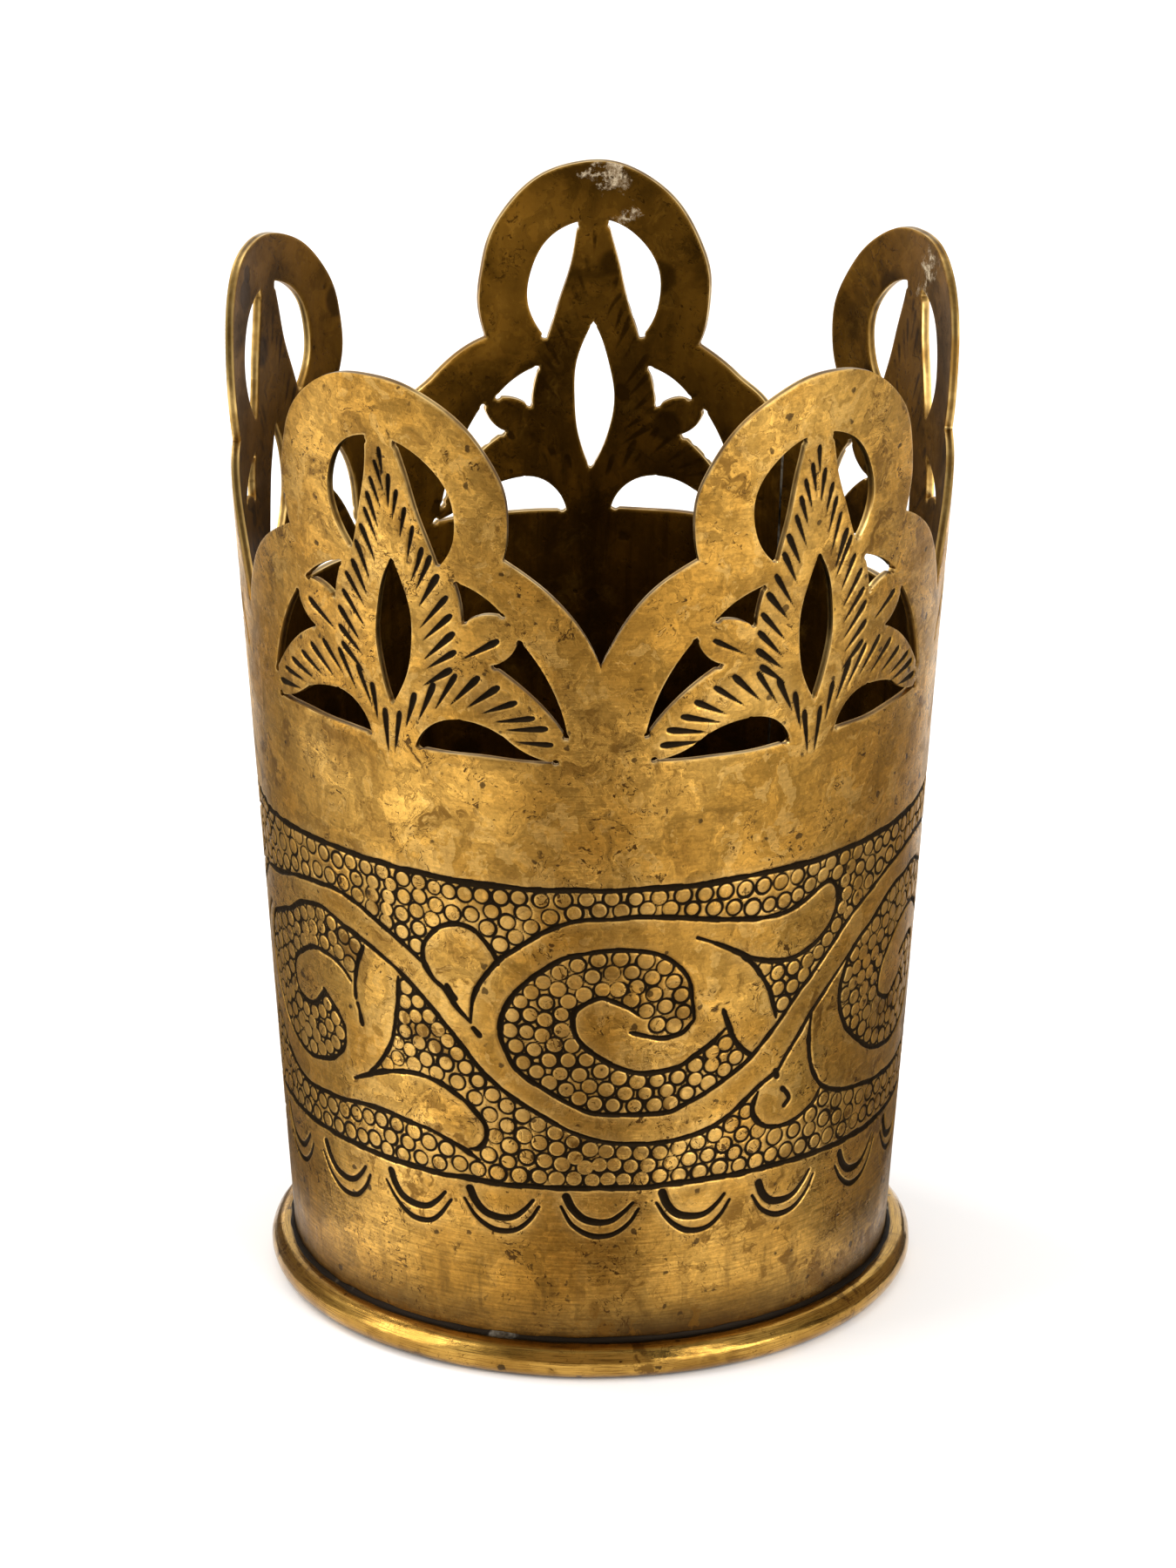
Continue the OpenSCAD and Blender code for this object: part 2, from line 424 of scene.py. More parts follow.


# Worn brass with chased lines: clouds, flakes, grain, streaks and pits over the base,
# dark wax in the lines, and painted shade with dark runs just above the foot ring
def makeOuterBrass():
    metal = Finish("chasedBrass", outerLook, 0.55)
    place, uv, height = metal.place, metal.uv(), metal.height()
    tarnish = useGroup(tarnishGroup, place, {"Cloud Scale": 62.0, "Flake Scale": 290.0})
    brush = useGroup(brushGroup, uv, {"Along": 26.0, "Across": 400.0})
    pits = useGroup(pitGroup, place, {"Scale": 620.0, "Amount": 0.16})["Pit"]
    specks = useGroup(pitGroup, place, {"Scale": 1500.0, "Amount": 0.22})["Pit"]
    scratch = useGroup(scratchGroup, uv, {"Scale": 26.0})["Scratch"]
    halo = metal.attribute("halo")
    low, high = outerLook["wheelLow"], outerLook["wheelHigh"]

    metal.start(tarnish["Cloud"], "middle", "light")
    aloft = height.eased(low, high, 0.25, 1.0)
    patch = 1.0 + aloft * tarnish["Patch"].even(0.0, 1.0, -0.14, 0.10)
    fleck = 1.0 + aloft * tarnish["Fleck"].even(0.0, 1.0, -0.13, 0.11)
    metal.shade(tarnish["Flake"].even(0.0, 1.0, 0.84, 1.16) * patch * fleck)
    metal.lay(tarnish["Pale"] * (aloft * 0.36), "pale")
    metal.lay(tarnish["Stain"] * aloft.eased(0.25, 1.0, 0.36, 0.62), "brown")
    streak = 1.0 + height.eased(high, low, 0.13, 0.36) * brush["Streak"].even(0.3, 0.7, -1.0, 1.0)
    metal.shade(streak * tarnish["Grain"].even(0.0, 1.0, 0.78, 1.16))
    runs = noise(stretched(uv, (34.0, 5.0, 1.0)), 1.0, 5.0, 0.6)
    # painted shade: darker by height just above the foot ring's crease, joined with dark runs low on the wall
    shadeAndDarkMarks = height.eased(0.0105, 0.0038, 0.0, 0.96)
    shadeAndDarkMarks = shadeAndDarkMarks.larger(runs.eased(0.46, 0.66) * height.eased(0.0165, 0.0050, 0.0, 0.8))
    metal.lay(shadeAndDarkMarks * noise(place, 90.0, 5.0, 0.6).eased(0.3, 0.62, 0.55, 1.0), "shadeAndDarkMarks")
    metal.lay(runs.eased(0.58, 0.74, 0.0, 0.32), "brown")
    metal.lay(tarnish["Tide"] * 0.70, "brown")
    metal.lay(halo * tarnish["Stain"].eased(0.0, 0.6, 0.10, 0.34), "brown")
    # painted highlight: lighter beside the chased lines and over the punched ground
    metal.lay(halo * noise(place, 210.0, 4.0, 0.6).eased(0.36, 0.60, 0.25, 0.90), "arris")
    metal.lay(tarnish["Smudge"] * 0.85, "brown")
    metal.lay(tarnish["Crumb"] * 0.95, "speck")
    spots = pits.larger(specks * noise(place, 75.0, 3.0, 0.6).eased(0.46, 0.66))
    metal.lay(spots * 0.85, "shadeAndDarkMarks")
    # lighter along the cut edges: partly rubbed wear, partly a painted highlight on the arrises
    metal.lay(metal.attribute("arris") * noise(place, 380.0, 3.0, 0.6).eased(0.40, 0.60, 0.0, 0.75), "arris")
    groove = metal.attribute("chase").eased(-outerLook["lineEdge"], outerLook["lineEdge"])
    metal.lay(groove, "groove")

    rough = tarnish["Cloud"].even(0.0, 1.0, 0.44, 0.33) + tarnish["Stain"] * 0.12 - tarnish["Patch"] * 0.05
    rough = rough + brush["Hair"].even(0.3, 0.7, -0.05, 0.05) + groove * 0.3
    relief = noise(place, 330.0, 2.0, 0.5) * 2.6 + brush["Hair"] * 0.10 + tarnish["Grain"] * 0.16
    relief = relief + tarnish["Fleck"] * 0.35 - spots - scratch * 0.6
    return metal.finish(rough.held(), relief, 0.6, 0.00003)


innerLook = {
    "olive": (0.150, 0.062, 0.0045, 1),
    "dark": (0.032, 0.0135, 0.0015, 1),
    "worn": (0.30, 0.150, 0.020, 1),
    # the same pale brass for the inner arrises: partly rubbed wear, partly painted highlight
    "arris": outerLook["light"],
    "residue": (0.62, 0.50, 0.33, 1),
    "crust": (0.20, 0.125, 0.055, 1),
    # pale crusts that were left at two petal tips: place and reach in metres
    "crusts": [((0.0026, 0.0363, 0.1034), 0.0026), ((0.0046, 0.0361, 0.0995), 0.0013),
               ((0.0345, 0.0120, 0.1015), 0.0020), ((0.0342, 0.0133, 0.0985), 0.0018)],
}


# The wall inside: brown tarnish with darker runs from the rim, round spots and dull worn places,
# and pale residue at the tips
def makeInnerBrass():
    metal = Finish("innerBrass", innerLook)
    place, height = metal.place, metal.height()
    tarnish = useGroup(tarnishGroup, place, {"Cloud Scale": 105.0, "Flake Scale": 190.0})
    pits = useGroup(pitGroup, place, {"Scale": 260.0, "Amount": 0.20})["Pit"]
    specks = useGroup(pitGroup, place, {"Scale": 900.0, "Amount": 0.25})["Pit"]
    runs = noise(stretched(metal.uv(), (38.0, 5.0, 1.0)), 1.0, 6.0, 0.6, 0.5)

    metal.start(tarnish["Cloud"] * 0.85, "olive", "dark")
    metal.lay(tarnish["Stain"] * 0.35, "worn")
    metal.lay(height.eased(0.062, 0.095, 0.0, 0.36) * tarnish["Cloud"].even(0.0, 1.0, 1.0, 0.25), "worn")
    metal.shade(tarnish["Patch"].even(0.0, 1.0, 0.86, 1.08))
    metal.lay(tarnish["Tide"] * 0.6, "dark")
    metal.lay(runs.eased(0.42, 0.68) * height.eased(0.088, 0.068, 0.1, 0.8), "dark")
    spots = pits.larger(specks).larger(tarnish["Crumb"])
    metal.lay(spots * 0.7, "dark")
    away, (choice, _, _) = cellsOf(place, 145.0)
    metal.lay(away.eased(0.30, 0.20) * choice.below(0.42) * 0.75, "dark")
    pressed = metal.attribute("chase").eased(-0.1, 0.12) * noise(place, 330.0, 3.0, 0.6).eased(0.42, 0.60)
    metal.lay(pressed * 0.85, "dark")
    # lighter along the cut edges inside: partly rubbed wear, partly a painted highlight on the arrises
    metal.lay(metal.attribute("arris") * noise(place, 300.0, 3.0, 0.6).eased(0.35, 0.6, 0.2, 0.8), "arris")
    ragged = noise(place, 420.0, 5.0, 0.65).even(0.2, 0.8, -0.002, 0.002)
    residue = None
    for centre, reach in innerLook["crusts"]:
        spot = (vectorMath("DISTANCE", place, centre, output=1) + ragged).eased(reach, reach - 0.0008)
        residue = spot if residue is None else residue.larger(spot)
    residue = residue * noise(place, 620.0, 8.0, 0.75).eased(0.46, 0.54)
    metal.lay(residue, mixed(metal.tree, noise(place, 1500.0, 5.0, 0.7).eased(0.42, 0.60),
                             innerLook["crust"], innerLook["residue"]))

    metal.join("Metallic", 1.0 - residue * 0.8)
    rough = tarnish["Cloud"].even(0.0, 1.0, 0.50, 0.62) + residue * 0.3
    relief = tarnish["Grain"] * 0.15 + residue * 2.5 + noise(place, 240.0, 3.0, 0.55) * 2.6 - spots * 0.7
    return metal.finish(rough.held(), relief, 0.6, 0.00005)


edgeLook = {
    "bright": (0.78, 0.52, 0.18, 1),
    "dull": (0.34, 0.185, 0.040, 1),
    # painted shade for the middle of the cut walls
    "dirtAndShade": (0.075, 0.038, 0.010, 1),
}


# Sawn and filed edges: short file marks across, painted shade darkening the middle of each wall and bright
# arrises beside it
def makeEdgeBrass():
    metal = Finish("cutEdgeBrass", edgeLook)
    dull = noise(metal.place, 160.0, 4.0, 0.6).eased(0.40, 0.64)
    metal.start(dull, "bright", "dull")
    # painted shade: darker along the middle of each cut wall, between its two arrises
    sunk = metal.attribute("arris").eased(0.75, 0.2, 0.0, 0.85)
    metal.lay(sunk * noise(metal.place, 240.0, 5.0, 0.65).eased(0.30, 0.60, 0.55, 1.0), "dirtAndShade")
    marks = noise(stretched(metal.place, (3200.0, 3200.0, 700.0)), 1.0, 3.0, 0.6)
    return metal.finish(dull.even(0.0, 1.0, 0.28, 0.44), marks, 0.5, 0.00002)


ringLook = {
    "bright": (0.60, 0.35, 0.075, 1),
    "middle": (0.34, 0.18, 0.033, 1),
    "brown": (0.12, 0.055, 0.011, 1),
    "black": (0.030, 0.019, 0.009, 1),
}


# The foot ring: polished by handling, with long scratches round it and painted shade, black in the crease and
# by the table
def makeRingBrass():
    metal = Finish("ringBrass", ringLook)
    place, uv = metal.place, metal.uv()
    tarnish = useGroup(tarnishGroup, place, {"Cloud Scale": 95.0, "Flake Scale": 240.0})
    brush = useGroup(brushGroup, uv, {"Along": 22.0, "Across": 650.0})
    pits = useGroup(pitGroup, place, {"Scale": 520.0, "Amount": 0.16})["Pit"]
    creaseShade = metal.attribute("creaseShade")
    metal.start(tarnish["Cloud"], "middle", "bright")
    metal.lay(brush["Streak"].eased(0.53, 0.60, 0.0, 0.8), "brown")
    metal.lay(tarnish["Stain"] * 0.5, "brown")
    metal.lay(tarnish["Smudge"].larger(tarnish["Crumb"]) * 0.8, "brown")
    metal.lay(pits * 0.85, "black")
    # painted shade: black in the crease by the sleeve and along the underside by the table
    metal.lay(creaseShade * noise(place, 300.0, 4.0, 0.6).eased(0.25, 0.6, 0.55, 1.0), "black")
    rough = tarnish["Cloud"].even(0.0, 1.0, 0.26, 0.13) + creaseShade * 0.25
    dents = noise(stretched(uv, (48.0, 90.0, 1.0)), 1.0, 4.0, 0.6)
    relief = brush["Hair"] * 0.12 + brush["Streak"] * 0.3 - pits + dents * 1.8
    return metal.finish(rough.held(), relief, 0.6, 0.00003)


solderLook = {
    "bright": (0.52, 0.47, 0.38, 1),
    "dull": (0.20, 0.155, 0.10, 1),
    "black": (0.018, 0.013, 0.009, 1),
}


# Soft solder run into a crease: grey where it shines, mostly under black dirt
def makeSolder(name, dirtFrom, dirtTo):
    metal = Finish(name, solderLook)
    metal.start(noise(metal.place, 210.0, 4.0, 0.6).eased(0.42, 0.62), "dull", "bright")
    dirtAndShade = noise(metal.place, 130.0, 5.0, 0.6).eased(dirtFrom, dirtTo)
    metal.lay(dirtAndShade, "black")
    return metal.finish(dirtAndShade.even(0.0, 1.0, 0.30, 0.6), noise(metal.place, 1100.0, 3.0, 0.6), 0.5, 0.0001)


floorLook = {
    "brown": (0.20, 0.105, 0.020, 1),
    "worn": (0.42, 0.245, 0.060, 1),
    "rubbed": outerLook["light"],
    "dark": (0.028, 0.015, 0.005, 1),
}


# The floor plate: turned rings and the paler circle that the glass has rubbed, dark towards the wall
def makePlateBrass():
    metal = Finish("plateBrass", floorLook)
    place = metal.place
    tarnish = useGroup(tarnishGroup, place, {"Cloud Scale": 80.0, "Flake Scale": 150.0})
    scratch = useGroup(scratchGroup, place, {"Scale": 260.0})["Scratch"]
    pits = useGroup(pitGroup, place, {"Scale": 420.0, "Amount": 0.2})["Pit"]
    away = vectorMath("LENGTH", vectorMath("MULTIPLY", place, (1.0, 1.0, 0.0)), output=1)
    rings = Value(newNode(metal.tree, "ShaderNodeCombineXYZ", {0: away}).outputs[0])
    turned = noise(rings, 3000.0, 3.0, 0.6)
    metal.start(tarnish["Cloud"], "brown", "worn")
    metal.lay(away.eased(0.0165, 0.0185) * away.eased(0.0225, 0.0205) * 0.5, "rubbed")
    metal.lay(away.eased(0.0235, 0.0285, 0.0, 0.9), "dark")
    metal.lay(pits * 0.8, "dark")
    metal.lay(scratch * 0.5, "rubbed")
    return metal.finish(turned.even(0.3, 0.7, 0.36, 0.5), turned - scratch, 0.5, 0.00002)


outerBrass = makeOuterBrass()
innerBrass = makeInnerBrass()
edgeBrass = makeEdgeBrass()
ringBrass = makeRingBrass()
plateBrass = makePlateBrass()
footSolderMetal = makeSolder("footSolderMetal", 0.30, 0.42)
floorSolderMetal = makeSolder("floorSolderMetal", 0.36, 0.60)
seamMetal = makeSolder("seamBrazing", 0.38, 0.58)
sheetMetals = [outerBrass, innerBrass, edgeBrass]
print("materials made:", len(bpy.data.materials))

# Chasing: lines and ring punches

# All of it is worked as a field in millimetres, a line's half width less the way to its middle, so that
# the field is above zero inside a line.
chasing = {
    "seed": 11,
    "step": 0.06,              # between stamps along a line
    "wander": 0.055,           # how far a hand-held chisel strays
    "hop": 2.3,                # from one blow of the chisel to the next
    "overrun": 2.6,            # how far the strays are drawn past a line's end
    "lineHalf": 0.285,
    "borderHalf": 0.34,
    "lineDepth": 0.23,
    "lineReach": 1.15,         # how far from its middle a line is stamped
    "ringHalf": 0.130,
    "ringRadius": 0.855,
    "ringDepth": 0.15,
    "ringReach": 1.5,
    "ringSpacing": 1.75,
    "ringClear": 0.22,         # of the punched ground from a line's middle
    "cell": 0.22,              # of the grid on which the punches are packed
    "packings": 26,
    "hexagon": 0.866,          # area of a packed punch's place for a spacing of one
    "far": -1.2,               # the field where nothing is chased
    "slope": 0.27,             # way in from a groove's edge to its full depth
    "burr": 0.028, "burrAway": 0.15, "burrWidth": 0.07,
    "sink": 0.045, "sinkReach": 0.22,
}
rng = np.random.default_rng(chasing["seed"])


# A smooth curve through the points (azimuth, height): Catmull-Rom cubics, then even steps of arc length.
# Gives azimuth, height and the share of the way along.
def smoothLine(points):
    p = np.asarray(points, float)
    scale = np.array([degree * radiusAt(p[:, 1].mean()), 1.0])
    p = p * scale
    p = np.vstack([2 * p[0] - p[1], p, 2 * p[-1] - p[-2]])
    t = np.linspace(0, 1, 24, endpoint=False)[None, :, None]
    a, b, c, d = p[:-3, None], p[1:-2, None], p[2:-1, None], p[3:, None]
    curve = 0.5 * (2 * b + (c - a) * t + (2 * a - 5 * b + 4 * c - d) * t ** 2
                   + (3 * b - 3 * c + d - a) * t ** 3)
    curve = np.vstack([curve.reshape(-1, 2), p[-2:-1]])
    way = np.concatenate([[0], np.cumsum(np.hypot(*np.diff(curve, axis=0).T))])
    even = np.arange(0, way[-1], chasing["step"])
    x, z = np.interp(even, way, curve[:, 0]), np.interp(even, way, curve[:, 1])
    knots = np.arange(0, way[-1] + chasing["overrun"], chasing["hop"])
    stray = np.interp(even, knots, rng.normal(0, chasing["wander"], len(knots)))
    dx, dz = np.gradient(x), np.gradient(z)
    length = np.hypot(dx, dz) + 1e-9
    return (x - dz / length * stray) / scale[0], z + dx / length * stray, even / max(way[-1], 1e-6)


# Half widths along a line: full in the middle, drawn in at the ends, uneven as hand work is.
# Each step of the chisel starts fine and ends broad.
def lineWidths(share, half, ends=0.6, fade=0.06):
    width = half * (ends + (1 - ends) * smoothStep(share / fade))
    width = width * (ends + (1 - ends) * smoothStep((1 - share) / fade))
    knots = np.linspace(0, 1, max(4, int(len(share) / 22)))
    width = width * np.interp(share, knots, rng.normal(1, 0.12, len(knots)))
    hop = (np.arange(len(share)) * chasing["step"] + rng.uniform(0, 2)) / chasing["hop"] % 1
    return width * (0.90 + 0.20 * hop)


# Goes round every point's neighbours on a grid of azimuth and height: gives the rows and columns that
# lie within reach of the points and how far off they are
def eachNear(shape, grid, azimuth, z, reach):
    rows, columns = shape
    size = degree * radiusAt((grid["low"] + grid["high"]) / 2)
    up, across = int(reach / grid["stepHeight"]) + 1, int(reach / (grid["stepAzimuth"] * size)) + 1
    row0 = np.rint((z - grid["low"]) / grid["stepHeight"]).astype(int)
    column0 = np.rint((azimuth - grid["left"]) / grid["stepAzimuth"]).astype(int)
    local = degree * radiusAt(z)
    for i in range(-up, up + 1):
        row = row0 + i
        dz = grid["low"] + row * grid["stepHeight"] - z
        for j in range(-across, across + 1):
            column = column0 + j
            du = (grid["left"] + column * grid["stepAzimuth"] - azimuth) * local
            kept = (row >= 0) & (row < rows)
            if not grid["closed"]:
                kept &= (column >= 0) & (column < columns)
            yield row[kept], column[kept] % columns, np.hypot(du, dz)[kept], kept


# Stamps lines into a field: half width less distance, of which the greatest stays
def stampLine(field, grid, azimuth, z, half):
    for row, column, away, kept in eachNear(field.shape, grid, azimuth, z, chasing["lineReach"]):
        np.maximum.at(field, (row, column), half[kept] - away)


# Way from every grid point to the nearest punched middle, each stretched a little by its own share
def wayToPunches(shape, grid, azimuth, z, stretch):
    way = np.full(shape, chasing["ringReach"] + 1)
    for row, column, away, kept in eachNear(shape, grid, azimuth, z, chasing["ringReach"]):
        np.minimum.at(way, (row, column), away * stretch[kept])
    return way


# Depth from the field: a round-bottomed groove, a little metal pushed up beside it,
# and the sheet round it drawn down softly
def grooveDepth(field, deepest):
    groove = deepest * smoothStep((field + 0.05) / chasing["slope"])
    burr = chasing["burr"] * np.exp(-((field + chasing["burrAway"]) / chasing["burrWidth"]) ** 2)
    sink = chasing["sink"] * np.exp(np.minimum(field, 0) / chasing["sinkReach"])
    return groove - burr + sink


# Softens an array by two running means along both directions, of which the second may close on itself
def soften(values, width, closed):
    out = values
    for axis in (0, 0, 1, 1):
        total = np.zeros_like(out)
        for k in range(-width, width + 1):
            index = np.arange(out.shape[axis]) + k
            if axis == 1 and closed:
                index = index % out.shape[1]
            total += np.take(out, np.clip(index, 0, out.shape[axis] - 1), axis)
        out = total / (2 * width + 1)
    return out


# The frieze: a running scroll with curled leaves on a ring-punched ground

frieze = {
    "low": 12.8, "high": 56.0, "rows": 288, "columns": 1400, "block": 8, "parts": 5,
    "motifPitch": 65.0,        # degrees from a standing scroll to the next hanging one
    "mirrorSum": 74.9,         # a standing point's height and its hanging twin's together
    # each border line: its height, and how deep it dips, at which azimuth and how widely
    "borders": [(20.6, 0.4, 62, 16), (53.2, 0.8, -72, 14)],
    "borderClear": 0.3,
}

# One scroll, standing; lines as (azimuth, height)
scroll = {
    "leafBack": [(-22.7, 37.9), (-22, 40.5), (-20.5, 42.5), (-17.5, 45), (-15, 46.2), (-10, 48.3), (-5, 49.7),
                 (0, 50.1), (5, 50.2), (10, 50.1), (15, 49.7), (20, 49.2), (25, 48.7), (28, 48.4), (33, 48.4),
                 (37, 49), (40, 49.8), (42, 50.3), (43.5, 50.3), (45, 49.4), (45.6, 48), (45, 46.5), (43, 45),
                 (40, 43.8), (36, 43.1), (32, 43.3), (28, 44), (25, 44.9), (20, 46.6), (16.8, 47.5)],
    "spiral": [(16.7, 38.7), (16.5, 40), (15.7, 42.5), (13.5, 44.6), (10, 46), (5, 46.7), (0, 46.7), (-5, 46),
               (-10, 44.2), (-13.5, 42.5), (-15.5, 41), (-17, 39), (-17.2, 37), (-16.5, 35.5), (-15, 33.7),
               (-12.5, 32.4), (-10, 31.6), (-5, 29.9), (-1, 28.9), (5, 28.7), (12, 28.7), (15, 29.3),
               (20, 30.5), (25, 32.3), (27.5, 33.3), (30, 34.5), (32, 35.7), (35, 37.5), (38, 39.5),
               (40, 40.5), (45, 43.3), (50, 45.5), (55, 47.2), (60, 48.4), (65, 49.1), (70, 49.5), (75, 49.6),
               (80, 49.3), (85, 48.6), (90, 47.1), (95, 44.9), (98.5, 43.7), (100, 42.6), (105, 38.9),
               (110, 35.9), (115, 33.4)],
    "curl": [(6.7, 39.5), (5, 40.3), (2, 41.2), (0, 41.5), (-3, 40.7), (-4.5, 39.8), (-4.5, 38), (-3, 36.5),
             (0, 35), (3, 34), (7, 33.3), (12, 33.3), (15, 33.8), (17, 34.6), (20, 35.7), (22.5, 37)],
    "hook": [(5.4, 37.8), (10.4, 36.9), (14.2, 37.2), (16, 38.2), (16.7, 38.7)],
    "leafVein": [(22, 39.2), (23, 37.5), (24.5, 35.5), (26.5, 34.2), (28, 33.5)],
    "leafSide": [(25, 44.9), (27, 43.7), (29, 42.2), (31, 40.3), (32, 38.5), (32.7, 37)],
    "bud": [(-22.7, 37.9), (-25, 39.2), (-27.5, 41), (-29.5, 41.9), (-31, 43.3), (-31.2, 44.5), (-30.5, 46),
            (-28.5, 47.6), (-25, 48.4), (-22, 48.2), (-20, 47.2), (-18, 45.7), (-17.3, 44.7)],
    "budStroke": [(-26.8, 41.7), (-25.3, 40.2)],
    "budTail": [(-22.3, 37.3), (-21, 36.5)],
}
# The same scroll hanging, as the left of the photograph shows it
hangingLeft = {
    "stem": [(-80, 45.4), (-76, 45.8), (-72, 46.2), (-68, 46.8), (-64, 47.4), (-60, 47.9), (-55, 48.4),
             (-50, 48.4), (-45, 47.8), (-42, 47), (-40, 46.4), (-37, 45.5), (-34, 44.5), (-31.3, 43.4)],
    "spiral": [(-50.3, 33.3), (-50.5, 32), (-51.3, 30.9), (-53, 30), (-56, 29), (-60, 28.3), (-64, 28.1),
               (-68, 28.6), (-72, 29.5), (-76, 31.3), (-79, 33.6), (-80.6, 36.4), (-80, 39), (-77.5, 40.8),
               (-73, 41.8), (-68, 42.9), (-64, 44.2), (-60, 45.2), (-55, 45.7), (-50, 45), (-45, 44.1),
               (-40, 42.9), (-36, 41.6), (-30, 38.7), (-25, 35.5), (-20, 32.3), (-15, 30.1), (-10, 28.4),
               (-5, 26.9), (0, 25.8), (5, 25.4), (10, 25.3), (15, 25.6), (20, 26.3), (25, 27.8), (30, 30),
               (33.5, 31.2), (35, 32.3), (40, 36), (45, 39), (50, 41.4)],
    "curl": [(-48, 39), (-50, 40), (-53, 40.7), (-57, 40.8), (-60, 40.3), (-63, 39.4), (-66, 38),
             (-66.8, 36.5),
             (-66, 34.8), (-63, 34.1), (-60, 34.2), (-57.5, 35.3), (-55.8, 36.5)],
    "hook": [(-56.2, 36.6), (-54, 35.6), (-51.5, 34.3), (-50.3, 33.3)],
    "leafSide": [(-36.9, 41.2), (-37, 39), (-37.7, 36.8), (-39.3, 33.5), (-42, 31), (-45, 29.3)],
    "leafVein": [(-44.3, 43.4), (-46, 41.2), (-47, 39), (-47.2, 37.1)],
    "leafStroke": [(-46.8, 36.8), (-46.2, 35.8), (-45.7, 34.5)],
    "leafBack": [(-48.7, 28.1), (-45, 29.3), (-41, 30.2), (-37, 30.9), (-33, 31), (-29, 30.7), (-26, 29.9),
                 (-24, 29.1), (-21.8, 27.7), (-20.6, 26.6), (-20.6, 25.2), (-21.8, 24.1), (-23.6, 23.9)],
    "underside": [(-79, 26.4), (-75, 26), (-70, 25.2), (-65, 24.7), (-60, 24.8), (-55, 25), (-50, 25.4),
                  (-45, 25.8), (-40, 25.8), (-35, 25.4), (-30, 24.9), (-26, 24.1), (-23, 23.2),
                  (-21.7, 22.8)],
}
# The next hanging scroll's leaf and bud, as the right of the photograph shows them
hangingRight = {
    "bud": [(29.7, 29.3), (28.9, 28), (29.2, 26.8), (31, 25.6), (34, 24.9), (37, 24.8), (40, 25.4),
            (42.6, 26.3),
            (44.3, 27.6)],
    "leafBack": [(40.8, 36.2), (40.6, 33.5), (41.3, 31), (42.5, 29.3), (45, 27.7), (50, 26.3), (60, 25.2),
                 (65, 24.8), (70, 24.7), (75, 24.8), (80, 25.2), (85, 25.7), (90, 26.2), (93, 26.5),
                 (98, 26.5),
                 (102, 25.9), (105, 25.1), (107, 24.6), (108.5, 24.6), (110, 25.5), (110.6, 26.9),
                 (110, 28.4),
                 (108, 29.9), (105, 31.1), (101, 31.8), (97, 31.6), (93, 30.9), (90, 30), (85, 28.3),
                 (81.8, 27.4)],
    "budMark": [(34.8, 29.1), (36, 28.4), (36.6, 27.6), (35.4, 26.9)],
    "stemNick": [(33.2, 31.3), (33.7, 30.4)],
}


# Azimuths of the scrolls are even at the front and drawn closer at the hidden back
def friezeAzimuth(m):
    lap = 6 * frieze["motifPitch"]
    knots = np.array([-1, 1, 2, 3, 4, 5]) * frieze["motifPitch"]
    places = np.array([-65, 65, 122.5, 180, 237.5, 295.0])
    turns = np.floor((m + frieze["motifPitch"]) / lap)
    return np.interp(m - turns * lap, knots, places) + 360 * turns


# The points with their azimuths as they lie on the sheet
def onSheet(points):
    m = np.array(points, float)
    m[:, 0] = friezeAzimuth(m[:, 0])
    return m


# A standing scroll's points turned over into the next hanging one
def hung(points):
    return [(a + frieze["motifPitch"], frieze["mirrorSum"] - z) for a, z in points]


# The points one or two pairs of scrolls further round
def later(points, pairs=1):
    return [(a + pairs * 2 * frieze["motifPitch"], z) for a, z in points]


# All lines of the frieze: the front as photographed, the back from the same scroll, standing and hanging.
# The last hanging scroll's leaf runs on round the left of the view.
def friezeLines():
    lines = list(scroll.values()) + list(hangingLeft.values()) + list(hangingRight.values())
    lines += [hung(scroll[k]) for k in ("spiral", "curl", "hook", "leafVein", "leafSide")]
    lines += [later(points) for points in scroll.values()]
    lines += [later(scroll[k], 2) for k in scroll if k != "spiral"]
    lines.append(later([p for p in scroll["spiral"] if p[0] < 51], 2))
    lines += [later(hung(points)) for points in scroll.values()]
    lines.append(later(hung(scroll["leafBack"][:7]), 2))
    lines += [later(hung(scroll[k]), 2) for k in ("bud", "budStroke", "budTail")]
    return [onSheet(points) for points in lines]


# Edge of the upper punched strip over one pair of scrolls, from bud to bud
stripEdge = (scroll["bud"][4:] + scroll["leafBack"][4:27]
             + [(27, 43.8), (29, 42.2), (31, 40.3), (32.5, 38), (33.2, 36.8)] + scroll["spiral"][27:-5])


